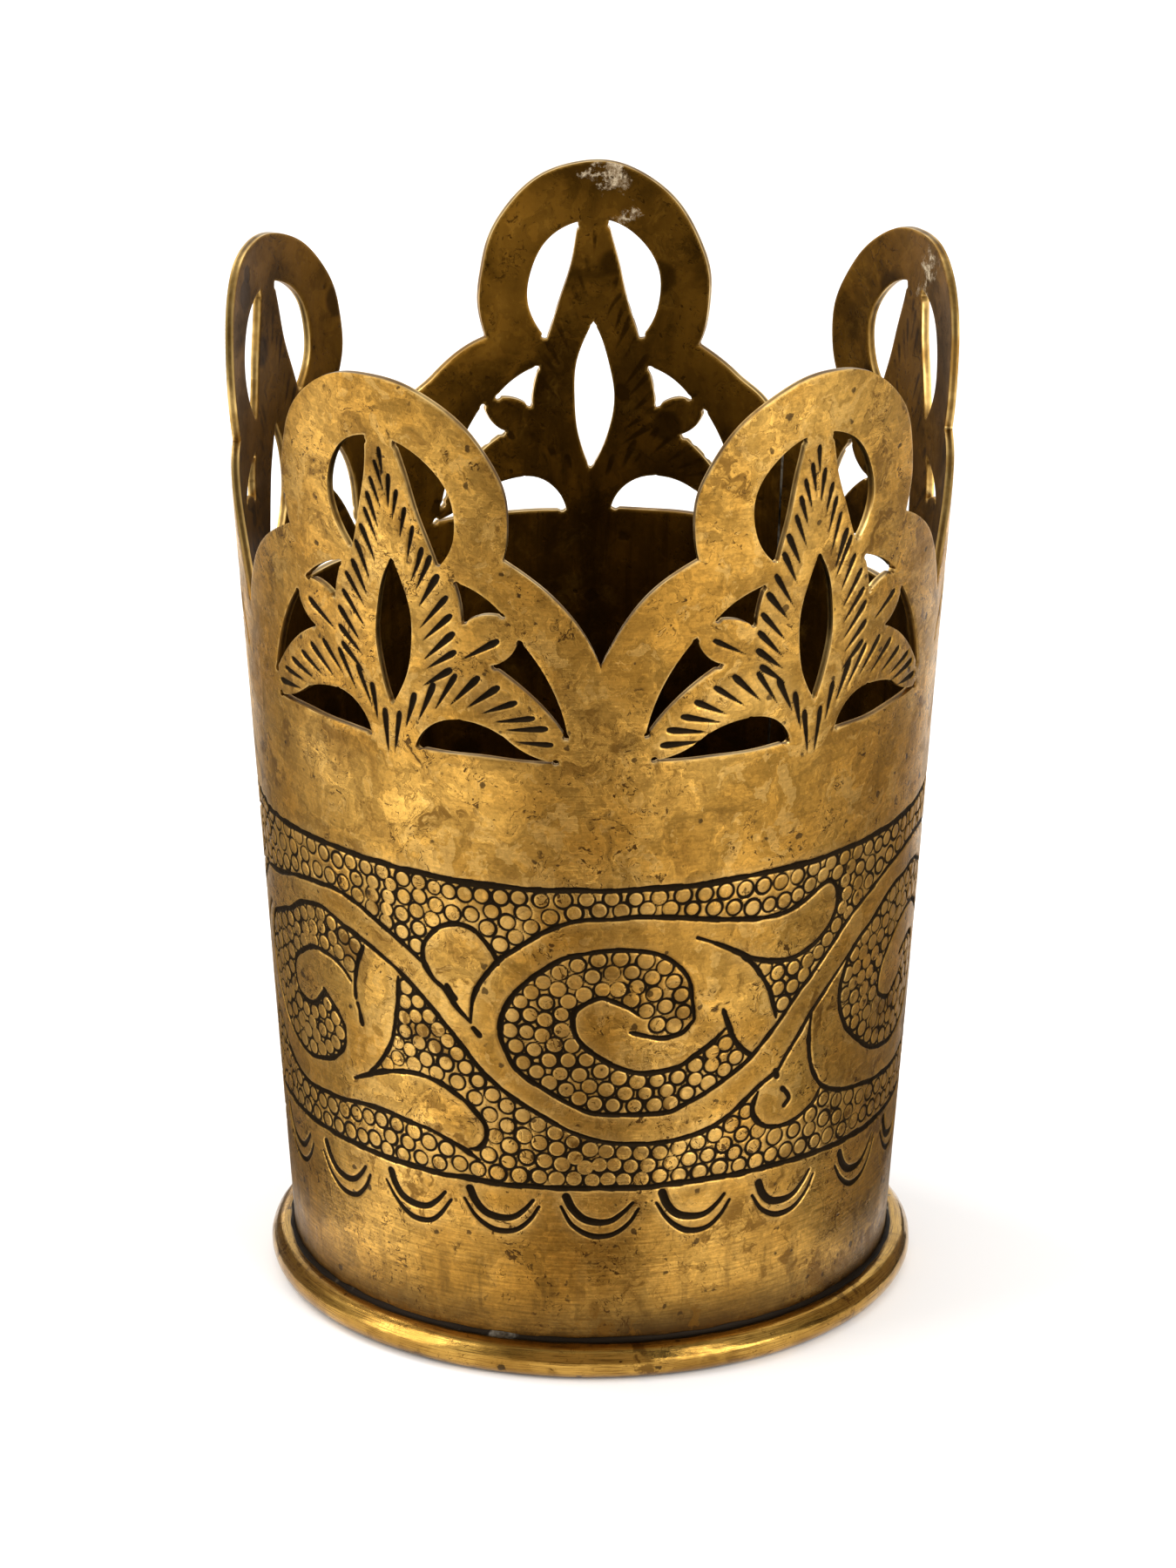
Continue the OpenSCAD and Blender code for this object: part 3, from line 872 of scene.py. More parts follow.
# The punched grounds as closed outlines (azimuth, height): one inside each spiral, then an upper
# and a lower strip all the way round, closed along the border lines
def punchedGrounds():
    (lowBorder, *_), (highBorder, *_) = frieze["borders"]
    low, high = lowBorder + frieze["borderClear"], highBorder - frieze["borderClear"]
    upper = (hangingLeft["stem"][1:] + stripEdge + later(stripEdge)
             + later([p for p in stripEdge if p[0] < 54], 2) + [(314, 46.9)])
    hangingStrip = hung(stripEdge)
    lower = (hangingLeft["underside"][1:-1] + hangingLeft["leafBack"][::-1][:-1]
             + hangingLeft["leafSide"][::-1] + hangingLeft["spiral"][22:36] + hangingRight["bud"]
             + hangingRight["leafBack"][5:]
             + hangingStrip[hangingStrip.index(hung([(27, 43.8)])[0]):]
             + later(hangingStrip) + later([p for p in hangingStrip if p[0] < 55.5], 2))
    inside = (scroll["spiral"][:25] + scroll["leafVein"][::-1][1:3] + scroll["curl"][::-1]
              + [(8, 38.6)] + scroll["hook"][1:])
    insideLeft = (hangingLeft["spiral"][:22] + hangingLeft["leafVein"][:3] + hangingLeft["curl"]
                  + hangingLeft["hook"][1:])
    rounds = [inside, insideLeft, hung(inside), later(inside), later(hung(inside)), later(inside, 2)]
    out = [onSheet(points) for points in rounds]
    for points, level in ((upper, high), (lower, low)):
        m = onSheet(points)
        out.append(np.vstack([m, [[m[-1, 0], level], [m[0, 0], level]]]))
    return out


# Inside or outside by counting crossings: a point is inside where a line from it crosses the outline oddly
def insideOutline(x, y, outline):
    a, b = outline, np.roll(outline, -1, 0)
    inside = np.zeros(x.shape, bool)
    for (x0, y0), (x1, y1) in zip(a, b):
        crosses = (y0 > y) != (y1 > y)
        with np.errstate(divide="ignore", invalid="ignore"):
            at = x0 + (y - y0) * (x1 - x0) / (y1 - y0)
        inside ^= crosses & (x < at)
    return inside


# The points of a ground that stay clear of every line, on a fine grid, in millimetres round the sheet
def clearGround(outline, samples, size):
    cell = chasing["cell"]
    aa, zz = np.meshgrid(np.arange(outline[:, 0].min(), outline[:, 0].max(), cell / size),
                         np.arange(outline[:, 1].min(), outline[:, 1].max(), cell))
    free = insideOutline(aa, zz, outline)
    aa, zz = aa[free], zz[free]
    clear = np.ones(len(aa), bool)
    for start in range(0, len(aa), 4000):
        part = slice(start, start + 4000)
        lowest, highest = np.searchsorted(samples[:, 0], (aa[part].min() - 1, aa[part].max() + 1))
        near = samples[lowest:highest]
        away = np.hypot((aa[part, None] - near[None, :, 0]) * size, zz[part, None] - near[None, :, 1])
        clear[part] = away.min(1) > chasing["ringClear"]
    ground = np.stack([aa[clear] * size, zz[clear]], -1)
    return ground[np.argsort(ground[:, 0])]


# Where the ring punch struck: places are thrown into each ground, then each is moved again and again
# to the middle of the ground nearest to it, which packs them as closely as a careful hand would
def punchPlaces(lines):
    samples = np.vstack([np.stack(smoothLine(p)[:2], -1)[::4] for p in lines])
    samples = np.vstack([samples, samples + [360, 0], samples - [360, 0]])
    samples = samples[np.argsort(samples[:, 0])]
    size = degree * radiusAt(37)
    cellArea, placeArea = chasing["cell"] ** 2, chasing["ringSpacing"] ** 2
    places = []
    for outline in punchedGrounds():
        ground = clearGround(outline, samples, size)
        count = int(len(ground) * cellArea / (chasing["hexagon"] * placeArea))
        spots = ground[rng.choice(len(ground), count, replace=False)]
        for _ in range(chasing["packings"]):
            spots = spots[np.argsort(spots[:, 0])]
            total, tally = np.zeros_like(spots), np.zeros(len(spots))
            for start in range(0, len(ground), 3000):
                part = ground[start:start + 3000]
                lowest, highest = np.searchsorted(spots[:, 0], (part[0, 0] - 4, part[-1, 0] + 4))
                near = spots[lowest:highest]
                away = (part[:, None, 0] - near[None, :, 0]) ** 2 + (part[:, None, 1] - near[None, :, 1]) ** 2
                best = away.argmin(1) + lowest
                np.add.at(total, best, part)
                np.add.at(tally, best, 1)
            filled = tally * cellArea > 0.4 * placeArea
            spots = total[filled] / tally[filled][:, None]
        places.append(spots / [size, 1])
    return np.vstack(places)


# Two crescents under each other, the inner one struck deeper on its left arm. Each has its points from
# its own middle and its half width at the left arm, near the middle and at the right arm.
crescents = {
    "front": [-72, -53.5, -35, -18, 0, 17.5, 36.5, 57],
    "back": np.linspace(57, 288, 14)[1:-1],
    "inner": ([(-5.7, 19.6), (-4.7, 18.3), (-2.8, 17.2), (0, 16.8), (2.5, 17.0), (4.6, 17.9), (6.2, 19)],
              (0.46, 0.42, 0.20)),
    "outer": ([(-7, 18.4), (-5, 16.7), (-2.5, 15.6), (0, 15.2), (3, 15.5), (5.5, 16.7), (7.3, 18.3)],
              (0.17, 0.34, 0.18)),
    "drop": 0.5,               # how much lower they hang away from the front
}


# The chased lines and the ring punches of the whole frieze as two fields on one grid
def friezeField():
    grid = {"left": 0.0, "stepAzimuth": 360 / frieze["columns"], "low": frieze["low"], "high": frieze["high"],
            "stepHeight": (frieze["high"] - frieze["low"]) / frieze["rows"], "closed": True}
    lines = np.full((frieze["rows"] + 1, frieze["columns"]), chasing["far"])
    scrollLines = friezeLines()
    for points in scrollLines:
        azimuth, z, share = smoothLine(points)
        stampLine(lines, grid, azimuth, z, lineWidths(share, chasing["lineHalf"]))
    for height, deep, middle, wide in frieze["borders"]:
        a = np.arange(-180, 181, 12.0)
        dip = deep * np.exp(-((a - middle) / wide) ** 2)
        azimuth, z, share = smoothLine(np.stack([a, height - dip + 0.08 * np.sin(np.radians(5 * a))], -1))
        stampLine(lines, grid, azimuth, z, lineWidths(share, chasing["borderHalf"], 1))
    for centre in list(crescents["front"]) + list(crescents["back"]):
        drop = crescents["drop"] * smoothStep((abs((centre + 180) % 360 - 180) - 15) / 30)
        tilt = rng.normal(0, 0.12)
        for part, widths in (crescents["inner"], crescents["outer"]):
            azimuth, z, share = smoothLine([(a + centre, z - drop + tilt * a / 6) for a, z in part])
            stampLine(lines, grid, azimuth, z, np.interp(share, (0, 0.45, 1), widths))
    places = punchPlaces(scrollLines)
    count = len(places)
    way = wayToPunches(lines.shape, grid, places[:, 0], places[:, 1], rng.normal(1, 0.035, count))
    uneven = soften(rng.normal(0, 1, lines.shape), 4, True)
    # outside its circle a ring fades more slowly, as neighbours' walls run together
    off = way - chasing["ringRadius"]
    rings = chasing["ringHalf"] * (1 + 0.22 * uneven / uneven.std()) - np.maximum(-off, 0.90 * off)
    rings = np.where(way > chasing["lineReach"], chasing["far"], rings)
    print("frieze worked:", len(scrollLines), "lines,", count, "ring punches")
    return lines, rings


# One part of the frieze as a closed plate: the worked outer face, a plain inner face on a wider grid,
# and side walls whose faces take eight steps of the outer grid to one of the inner
def makeFriezePart(index, lines, rings):
    rows, block = frieze["rows"], frieze["block"]
    columns = frieze["columns"] // frieze["parts"]
    take = np.arange(index * columns, (index + 1) * columns + 1)
    field = np.maximum(lines, rings)
    halo = soften(smoothStep((field + 0.25) / 0.35), 4, True) * 0.75
    depth = np.maximum(grooveDepth(lines, chasing["lineDepth"]), grooveDepth(rings, chasing["ringDepth"]))
    field, halo, depth = [values[:, take % frieze["columns"]] for values in (field, halo, depth)]
    azimuth = take * 360 / frieze["columns"]
    # the two parts beside the seam draw back from it over a dozen columns
    if index in (1, 2):
        ramp = smoothStep(1 - np.arange(columns + 1) / 12) * seamGap(35)
        azimuth = azimuth + (ramp if index == 2 else -ramp[::-1])
    aa, zz = np.meshgrid(azimuth, np.linspace(frieze["low"], frieze["high"], rows + 1))
    outer = sheetPoints(aa, zz, np.maximum(depth + unevenness(aa, zz), -0.05)).reshape(-1, 3)
    ai, zi = aa[::block, ::block], zz[::block, ::block]
    inner = sheetPoints(ai, zi, sheet["thickness"] + unevenness(ai, zi)).reshape(-1, 3)
    outerCount, width, widthIn = len(outer), columns + 1, columns // block + 1
    heightIn = rows // block + 1
    k, s = np.arange(rows // block)[:, None], np.arange(block + 1)[None]
    upLeft = (k * block + s) * width
    innerLeft, innerRight = outerCount + k * widthIn, outerCount + k * widthIn + widthIn - 1
    leftWall = np.hstack([innerLeft, upLeft, innerLeft + widthIn])
    rightWall = np.hstack([(upLeft + columns)[:, ::-1], innerRight, innerRight + widthIn])
    k = np.arange(columns // block)[:, None]
    along = k * block + s
    innerTop = outerCount + (heightIn - 1) * widthIn
    bottomWall = np.hstack([along[:, ::-1], outerCount + k, outerCount + k + 1])
    topWall = np.hstack([rows * width + along, innerTop + k + 1, innerTop + k])
    faces = [gridQuads(rows + 1, width), gridQuads(heightIn, widthIn, outerCount)[:, ::-1],
             leftWall, rightWall, bottomWall, topWall]
    blank = np.full(len(inner), -1.0)
    piece = addPiece("frieze_%d" % (index + 1), np.vstack([outer, inner]), faces, [0, 1, 2, 2, 2, 2],
                     sheetMetals,
                     {"chase": np.concatenate([field.ravel(), blank]),
                      "halo": np.concatenate([halo.ravel(), blank * 0])},
                     np.concatenate([sheetUv(aa, zz), sheetUv(ai, zi)]))
    seat(piece, "sleeve")


friezeFields = friezeField()
for part in range(frieze["parts"]):
    makeFriezePart(part, *friezeFields)
print("frieze parts built")

# The crown: five petals, each pierced and cut by hand

crown = {
    "low": 56.0, "high": 105.2, "rows": 246, "columns": 222,
    "base": 66.5, "height": 38.5,
    "archRadius": 13.4, "archBand": 6.1, "archHeight": 91.5,
    "shoulderAway": 18.5, "shoulderRadius": 19.7, "shoulderHeight": 70.2,
    "bodyDrop": 2.6,           # of the plain sheet's edge under the shoulders' height
    "spearTip": 3.1, "spearFoot": 9.7, "spearWaist": 0.25, "moonFoot": 86.3, "moonTop": 98.8,
    "lensWidth": 4.1, "lensHeight": 15.6, "lensMiddle": 78.4,
    "halfPitch": 22.17,
    "halfTurn": 36.0,          # degrees from a petal's centre line to its notches
    "kerf": 0.04,              # how much the saw takes off every edge
    "drill": 0.31,             # radius of the drilled starting holes in the corners
    "strokeHalf": 0.355,
    "strokeDepth": 0.26,
    "rounding": 0.06,          # how far the arrises are rubbed down
    "bulge": 0.035,            # how far a filed edge swells in its middle
}

# Corners of the side openings, as shares of half a petal's width and of the crown's height,
# and how far each side bows out, as a share of its length
sideOpenings = {
    "fin": ([(0.275, 0.465), (0.518, 0.382), (0.320, 0.351)], [0.08, -0.13, -0.04]),
    "sail": ([(0.586, 0.338), (0.820, 0.066), (0.464, 0.255)], [0.07, -0.07, -0.15]),
    "base": ([(0.122, 0.003), (0.307, 0.098), (0.541, 0.062), (0.785, 0.003)], [0.17, 0.07, -0.07, 0]),
}

# Chisel strokes on the left half of a petal, head to tip: (x, height, x, height) from its centre line
strokes = [
    (0.0, 97.4, 0.05, 95.0), (-0.85, 95.9, -0.35, 92.9), (-1.6, 94.2, -0.9, 91.4), (-2.2, 92.5, -1.3, 89.4),
    (-2.8, 90.7, -1.7, 87.3), (-3.5, 88.8, -2.2, 85.5), (-4.2, 86.9, -2.7, 83.6), (-4.9, 84.9, -3.1, 81.7),
    (-5.7, 83.0, -3.4, 80.0), (-6.2, 81.0, -3.8, 78.3), (-6.5, 79.2, -3.9, 76.5), (-6.6, 77.3, -3.9, 75.1),
    (-6.2, 75.4, -3.7, 73.5), (-4.4, 73.6, -2.9, 70.0), (-6.7, 74.8, -4.6, 71.4), (-9.0, 74.9, -6.4, 72.1),
    (-11.0, 74.1, -8.2, 71.9), (-12.6, 72.7, -9.9, 71.3), (-14.1, 71.3, -10.9, 70.3),
    (-15.2, 70.0, -12.0, 69.6),
    (-16.0, 68.4, -13.0, 68.5), (-11.0, 79.1, -8.0, 77.2), (-2.4, 72.0, -1.6, 68.6), (-0.9, 69.8, -0.4, 65.8),
]

# How the five petals differ: where the cut petal stands beside its even place (off), how wide its arch is
# cut and how much smaller (trim), the sideways lean of the ornament at four heights, its lift, the lift of
# each kind of side opening and how close the upper ones stand, how far its shoulders drop, how far its sails
# stand off, on which side its fin sank and how far, and a seed. At each of its two notches: how far its
# shoulder reaches out and how low it lies, then the neighbour's.
evenPetal = {
    "off": 0.0, "width": 1.0, "trim": 0.0, "lean": (0.0, 0.0, 0.0, 0.0), "lift": 0.0, "fin": 0.0, "sail": 0.0,
    "base": 0.0, "close": 1.0, "drop": 0.0, "sailOff": 0.0, "sunkFin": (0, 0.0),
    "left": (0.0, 0.0, 0.0, 0.0), "right": (0.0, 0.0, 0.0, 0.0),
}
petals = [
    dict(evenPetal, azimuth=36, seed=21, lean=(0.6, 0.5, 0.1, -0.7), right=(1.2, 1.1, -1.3, 1.3)),
    dict(evenPetal, azimuth=108, seed=22, off=3.7, trim=0.5, lean=(0.0, 0.0, 0.4, 0.6), fin=1.1, sail=0.1,
         base=0.5, sailOff=-3.8, sunkFin=(-1, 3.2), close=0.97, left=(-1.3, 1.3, 1.2, 1.1)),
    dict(evenPetal, azimuth=180, seed=23, off=-0.95, width=0.90, lift=1.8, fin=-1.1, sail=0.1, base=1.55,
         close=0.90, drop=2.0),
    dict(evenPetal, azimuth=252, seed=24, off=-4.2, trim=0.75, lean=(0.0, 0.0, -0.6, -0.9), lift=-1.9,
         fin=1.1, sail=-0.4, sailOff=1.9, sunkFin=(1, 2.5), close=0.97, right=(-2.3, 2.5, 1.9, 2.3)),
    dict(evenPetal, azimuth=324, seed=25, lean=(0.3, 0.7, 1.4, 0.4), lift=0.2, fin=0.2, sail=0.2, base=0.2,
         left=(1.9, 2.3, -2.3, 2.5)),
]


# Sideways place of the ornament on its petal: its lean, and the petal's own way off, which grows upwards
def leanAt(petal, z):
    return (np.interp(z, (66, 71, 86, 98.5), petal["lean"])
            + petal["off"] * (0.45 + 0.55 * smoothStep((z - 68) / 11)))


# Points of an arc from p to q, which rises to the left of that line by a share of its length
def arcPoints(p, q, share, count=10):
    p, q = np.array(p, float), np.array(q, float)
    if share == 0:
        return [p]
    side = q - p
    left = np.array([-side[1], side[0]])
    half = 2 * math.atan(2 * abs(share))
    a = np.arange(count) / count * 2 * half - half
    rise = (np.cos(a) - math.cos(half)) / (2 * math.sin(half)) * math.copysign(1, share)
    run = (math.sin(half) + np.sin(a)) / (2 * math.sin(half))
    return list(p + side * run[:, None] + left * rise[:, None])


# Way to a closed outline, below zero inside it: the least way to any of its sides
def wayToOutline(x, z, outline):
    best = np.full(x.shape, 9.0)
    near = ((x > outline[:, 0].min() - 1.5) & (x < outline[:, 0].max() + 1.5)
            & (z > outline[:, 1].min() - 1.5) & (z < outline[:, 1].max() + 1.5))
    px, pz = x[near], z[near]
    least = np.full(px.shape, 9.0)
    for (x0, z0), (x1, z1) in zip(outline, np.roll(outline, -1, 0)):
        dx, dz = x1 - x0, z1 - z0
        t = np.clip(((px - x0) * dx + (pz - z0) * dz) / (dx * dx + dz * dz + 1e-12), 0, 1)
        least = np.minimum(least, np.hypot(px - x0 - t * dx, pz - z0 - t * dz))
    best[near] = np.where(insideOutline(px, pz, outline), -least, least)
    return best


# Way to a disc's edge, below zero inside it
def wayToDisc(x, z, centre, radius):
    return np.hypot(x - centre[0], z - centre[1]) - radius


# Way to the petal's outline, below zero in the metal: the least way to the arch's disc, the petal's own
# shoulder disc, the neighbour's and the plain sheet below them
def outlineField(turn, x, borderX, z, zc, petal):
    # the whole cut is a little off to a side high up, and the notches stay where they are
    off = petal["off"] * smoothStep((z - 74) / 8)
    arch = wayToDisc((x - off) / petal["width"], zc, (0, crown["archHeight"] - petal["trim"] / 3),
                     crown["archRadius"] - petal["trim"])
    lower = petal["drop"] * smoothStep((crown["halfTurn"] - 1 - np.abs(turn)) / 9)
    sides = zip(petal["left"], petal["right"])
    reach, sunk, nextReach, nextSunk = [np.where(turn < 0, l, r) for l, r in sides]
    place, radius = (0, crown["shoulderHeight"]), crown["shoulderRadius"]
    shoulder = wayToDisc(borderX + crown["shoulderAway"] - reach, zc + lower + sunk, place, radius)
    nextShoulder = wayToDisc(borderX - crown["shoulderAway"] + nextReach, zc + nextSunk, place, radius)
    body = z - crown["shoulderHeight"] + crown["bodyDrop"]
    return np.minimum(np.minimum(arch, shoulder), np.minimum(nextShoulder, body))


# The openings up the middle, each below zero inside: two half-moons parted by a spear leaf, the lens in
# the leaf, and the drilled holes in their corners
def middleOpenings(ox, zc, petal):
    wide, lift = (1 + petal["width"]) / 2, petal["lift"]
    inArch = wayToDisc(ox / wide, zc, (0, crown["archHeight"]), crown["archRadius"] - crown["archBand"])
    foot, top = crown["moonFoot"], crown["moonTop"]
    climb = np.clip((zc - foot) / (top - foot), 0, 1)
    waist = crown["spearWaist"] * np.sin(np.pi * climb)
    spearHalf = (crown["spearFoot"] * (1 - climb) + crown["spearTip"] * climb) / 2 - waist
    holes = [np.maximum(np.maximum(inArch, (spearHalf - np.abs(ox)) * 0.97), foot - zc)]
    halfHigh, middle = crown["lensHeight"] / 2, crown["lensMiddle"]
    arcRadius = (halfHigh ** 2 + (crown["lensWidth"] / 2) ** 2) / crown["lensWidth"]
    aside = arcRadius - crown["lensWidth"] / 2
    holes.append(np.maximum(wayToDisc(ox, zc - lift, (aside, middle), arcRadius),
                            wayToDisc(ox, zc - lift, (-aside, middle), arcRadius)))
    corners = [(0, middle + halfHigh - 0.5 + lift), (0, middle - halfHigh + 0.5 + lift)]
    for side in (-1, 1):
        corners += [(side * 1.85, top - 0.75), (side * (crown["spearFoot"] / 2 + 0.25), foot + 0.3)]
    return holes + [wayToDisc(ox, zc, corner, crown["drill"]) for corner in corners]


# The fins, sails and base openings on both sides, below zero inside, with a drilled hole in every corner
def sideHoles(radius, a, zc, lean, petal, seeded):
    holes = []
    for name, (points, bows) in sideOpenings.items():
        half = crown["halfPitch"] * (1.0 if name == "base" else petal["close"])
        aside = lean + (petal["sailOff"] if name == "sail" else 0.0)
        middle = half * (min(p[0] for p in points) + max(p[0] for p in points)) / 2
        corners = [(p[0] * half - middle, crown["base"] + p[1] * crown["height"]) for p in points]
        for side in (-1, 1):
            shift = seeded.normal(0, 0.16, 2)
            sunkSide, sunkBy = petal["sunkFin"]
            rise = petal[name] - (sunkBy if name == "fin" and side == sunkSide else 0.0)
            outline = []
            for i, bow in enumerate(bows):
                outline += arcPoints(corners[i], corners[(i + 1) % len(corners)], bow)
            outline = np.array(outline) + shift
            lx = side * radius * np.sin(a - side * middle / sheet["crownRadius"]) - side * aside
            lz = zc - rise
            holes.append(wayToOutline(lx, lz, outline))
            for corner in corners:
                inward = outline.mean(0) - corner
                place = np.array(corner) + shift + inward / np.hypot(*inward) * 0.45
                holes.append(wayToDisc(lx, lz, place, crown["drill"]))
    return holes


# Way to the cut edge of one petal's sheet, below zero in the metal: the outline, from which each opening
# is taken away. The saw wanders by slow sines, which die out sideways towards the next petal.
def petalField(turn, z, petal):
    seeded = np.random.default_rng(petal["seed"])
    phase = seeded.uniform(0, 6.28, 6)
    radius, a = radiusAt(z), np.radians(turn)
    calm = smoothStep((crown["halfTurn"] - np.abs(turn)) / 3)
    x = radius * np.sin(a) + 0.09 * np.sin(z / 2.7 + phase[0]) + 0.05 * np.sin(z / 1.1 + phase[1])
    zc = z + calm * (0.08 * np.sin(radius * a / 2.9 + phase[2]) + 0.04 * np.sin(radius * a / 1.2 + phase[3]))
    borderX = radius * np.sin(np.abs(a) - math.radians(crown["halfTurn"]))
    borderX = borderX + calm * 0.08 * np.sin(z / 2.2 + phase[4])
    metal = outlineField(turn, x, borderX, z, zc, petal)
    lean = leanAt(petal, z)
    for hole in middleOpenings(x - lean, zc, petal) + sideHoles(radius, a, zc, lean, petal, seeded):
        metal = np.maximum(metal, -hole)
    return metal + crown["kerf"]


# Chisel strokes of one petal as a field: each a wedge, broad at its head and fine at its tip. The list's
# half is struck on the left, then mirrored on the right without the middle stroke.
def strokeField(grid, shape, petal):
    seeded = np.random.default_rng(petal["seed"] + 50)
    field = np.full(shape, chasing["far"])
    t = np.arange(0, 1, 0.016)
    for side in (-1, 1):
        for x0, z0, x1, z1 in strokes:
            if side == 1 and x0 == 0:
                continue
            if side == 1 and z0 > 87:
                z0, z1 = z0 - 0.9, z1 - 0.9
            jitter = seeded.normal(0, 0.11, 4)
            stretch = seeded.normal(1.15, 0.05)
            ax, az = -side * x0 + jitter[0], z0 + jitter[1]
            bx, bz = ax + (-side * (x1 - x0) + jitter[2]) * stretch, az + (z1 - z0 + jitter[3]) * stretch
            x, z = ax + (bx - ax) * t, az + (bz - az) * t
            x = x + leanAt(petal, z)
            z = z + max(petal["lift"], 0) * smoothStep((92 - z) / 5)
            slim = 0.78 if z0 > 88 and x0 > -3.4 else 1
            half = slim * crown["strokeHalf"] * seeded.normal(1, 0.09) * (1 - t) ** 0.8 + 0.035
            half = half * (0.72 + 0.28 * smoothStep(t / 0.12))
            stampLine(field, grid, np.degrees(np.arcsin(x / radiusAt(z))), z, half)
    return field


# Cuts a grid along the zero line of a field. A cell keeps the corners inside it and a point on each
# side that the line crosses, so every piece of cell is one polygon. Gives the points as pairs of grid
# places with a share between them, the polygons by size, and the open edges.
def cutGrid(field):
    rows, columns = field.shape
    inside = field < 0
    number = np.arange(rows * columns).reshape(rows, columns)
    acrossCut = inside[:, :-1] != inside[:, 1:]
    upCut = inside[:-1] != inside[1:]
    cornerIndex = np.full((rows, columns), -1)
    cornerIndex[inside] = np.arange(inside.sum())
    total = inside.sum()
    acrossIndex = np.full(acrossCut.shape, -1)
    acrossIndex[acrossCut] = total + np.arange(acrossCut.sum())
    total += acrossCut.sum()
    upIndex = np.full(upCut.shape, -1)
    upIndex[upCut] = total + np.arange(upCut.sum())
    first = np.concatenate([number[inside], number[:, :-1][acrossCut], number[:-1][upCut]])
    second = np.concatenate([number[inside], number[:, 1:][acrossCut], number[1:][upCut]])
    flat = field.ravel()
    step = flat[first] - flat[second]
    share = np.where(step == 0, 0.0, flat[first] / np.where(step == 0, 1, step))
    share = np.clip(share, 0.02, 0.98) * (first != second)
    ring = np.stack([cornerIndex[:-1, :-1], acrossIndex[:-1], cornerIndex[:-1, 1:], upIndex[:, 1:],
                     cornerIndex[1:, 1:], acrossIndex[1:], cornerIndex[1:, :-1],
                     upIndex[:, :-1]], -1).reshape(-1, 8)
    code = ((ring >= 0) * (1 << np.arange(8))).sum(1)
    polygons = []
    for kind in np.unique(code):
        used = [k for k in range(8) if kind >> k & 1]
        if len(used) >= 3:
            polygons.append(ring[code == kind][:, used])
    bySize = [np.vstack([p for p in polygons if p.shape[1] == n])
              for n in sorted({p.shape[1] for p in polygons})]
    edges = np.vstack([np.stack([p, np.roll(p, -1, 1)], -1).reshape(-1, 2) for p in bySize])
    key = edges.min(1).astype(np.int64) * len(first) + edges.max(1)
    _, where, count = np.unique(key, return_index=True, return_counts=True)
    return first, second, share, bySize, edges[where[count == 1]]


# One petal as a closed plate: cut outer face, the same face inside, and a wall of two rings round every edge
def makePetal(index, petal):
    low, high, rows, columns = [crown[k] for k in ("low", "high", "rows", "columns")]
    gap = seamGap(66)
    left = -crown["halfTurn"] + (gap if petal["azimuth"] == 180 else 0)
    right = crown["halfTurn"] - (gap if petal["azimuth"] == 108 else 0)
    tt, zz = np.meshgrid(np.linspace(left, right, columns + 1), np.linspace(low, high, rows + 1))
    field = petalField(tt, zz, petal)
    grid = {"left": left, "stepAzimuth": (right - left) / columns, "low": low, "high": high,
            "stepHeight": (high - low) / rows, "closed": False}
    chase = strokeField(grid, field.shape, petal)
    halo = soften(smoothStep((chase + 0.2) / 0.35), 3, False) * 0.5
    first, second, share, polygons, edges = cutGrid(field)

    def between(values):
        flat = values.ravel()
        return flat[first] * (1 - share) + flat[second] * share

    turns, heights, ways, lines = between(tt), between(zz), between(field), between(chase)
    azimuths = turns + petal["azimuth"]
    drop = crown["rounding"] * (1 - smoothStep(-ways / 0.26)) * (ways > -0.26)
    wave = unevenness(azimuths, heights)
    outer = sheetPoints(azimuths, heights, wave + drop + grooveDepth(lines, crown["strokeDepth"]))
    inner = sheetPoints(azimuths, heights, wave + sheet["thickness"] - drop)
    slopeZ, slopeU = [between(slope) for slope in np.gradient(field)]
    steep = np.hypot(slopeZ, slopeU) + 1e-9
    rim = np.unique(edges)
    rimIndex = np.full(len(first), -1)
    rimIndex[rim] = np.arange(len(rim))
    bulge = crown["bulge"] * (first != second)[rim]
    rimTurn = azimuths[rim] + np.degrees(bulge * slopeU[rim] / steep[rim] / radiusAt(heights[rim]))
    rimHeight = heights[rim] + bulge * slopeZ[rim] / steep[rim]
    middle = sheetPoints(rimTurn, rimHeight, wave[rim] + sheet["thickness"] / 2)
    count = len(first)
    p, q = edges[:, 0], edges[:, 1]
    pm, qm = 2 * count + rimIndex[p], 2 * count + rimIndex[q]
    walls = [np.stack([q, p, pm, qm], -1), np.stack([qm, pm, p + count, q + count], -1)]
    faces = polygons + [f[:, ::-1] + count for f in polygons] + walls
    slots = [0] * len(polygons) + [1] * len(polygons) + [2, 2]
    arris = smoothStep(1 + ways / 0.18)
    none = np.zeros(len(rim))
    flatUv = sheetUv(azimuths - (360 if petal["azimuth"] > sheet["seamAzimuth"] else 0), heights)
    piece = addPiece("petal_%d" % (index + 1), np.vstack([outer, inner, middle]), faces, slots, sheetMetals,
                     {"chase": np.concatenate([lines, lines, none - 1]),
                      "halo": np.concatenate([between(halo), np.zeros(count), none]),
                      "arris": np.concatenate([arris, arris, none])},
                     np.vstack([flatUv, flatUv, flatUv[rim]]))
    seat(piece, "sleeve")


for number, petal in enumerate(petals):
    makePetal(number, petal)
print("petals cut:", len(petals))


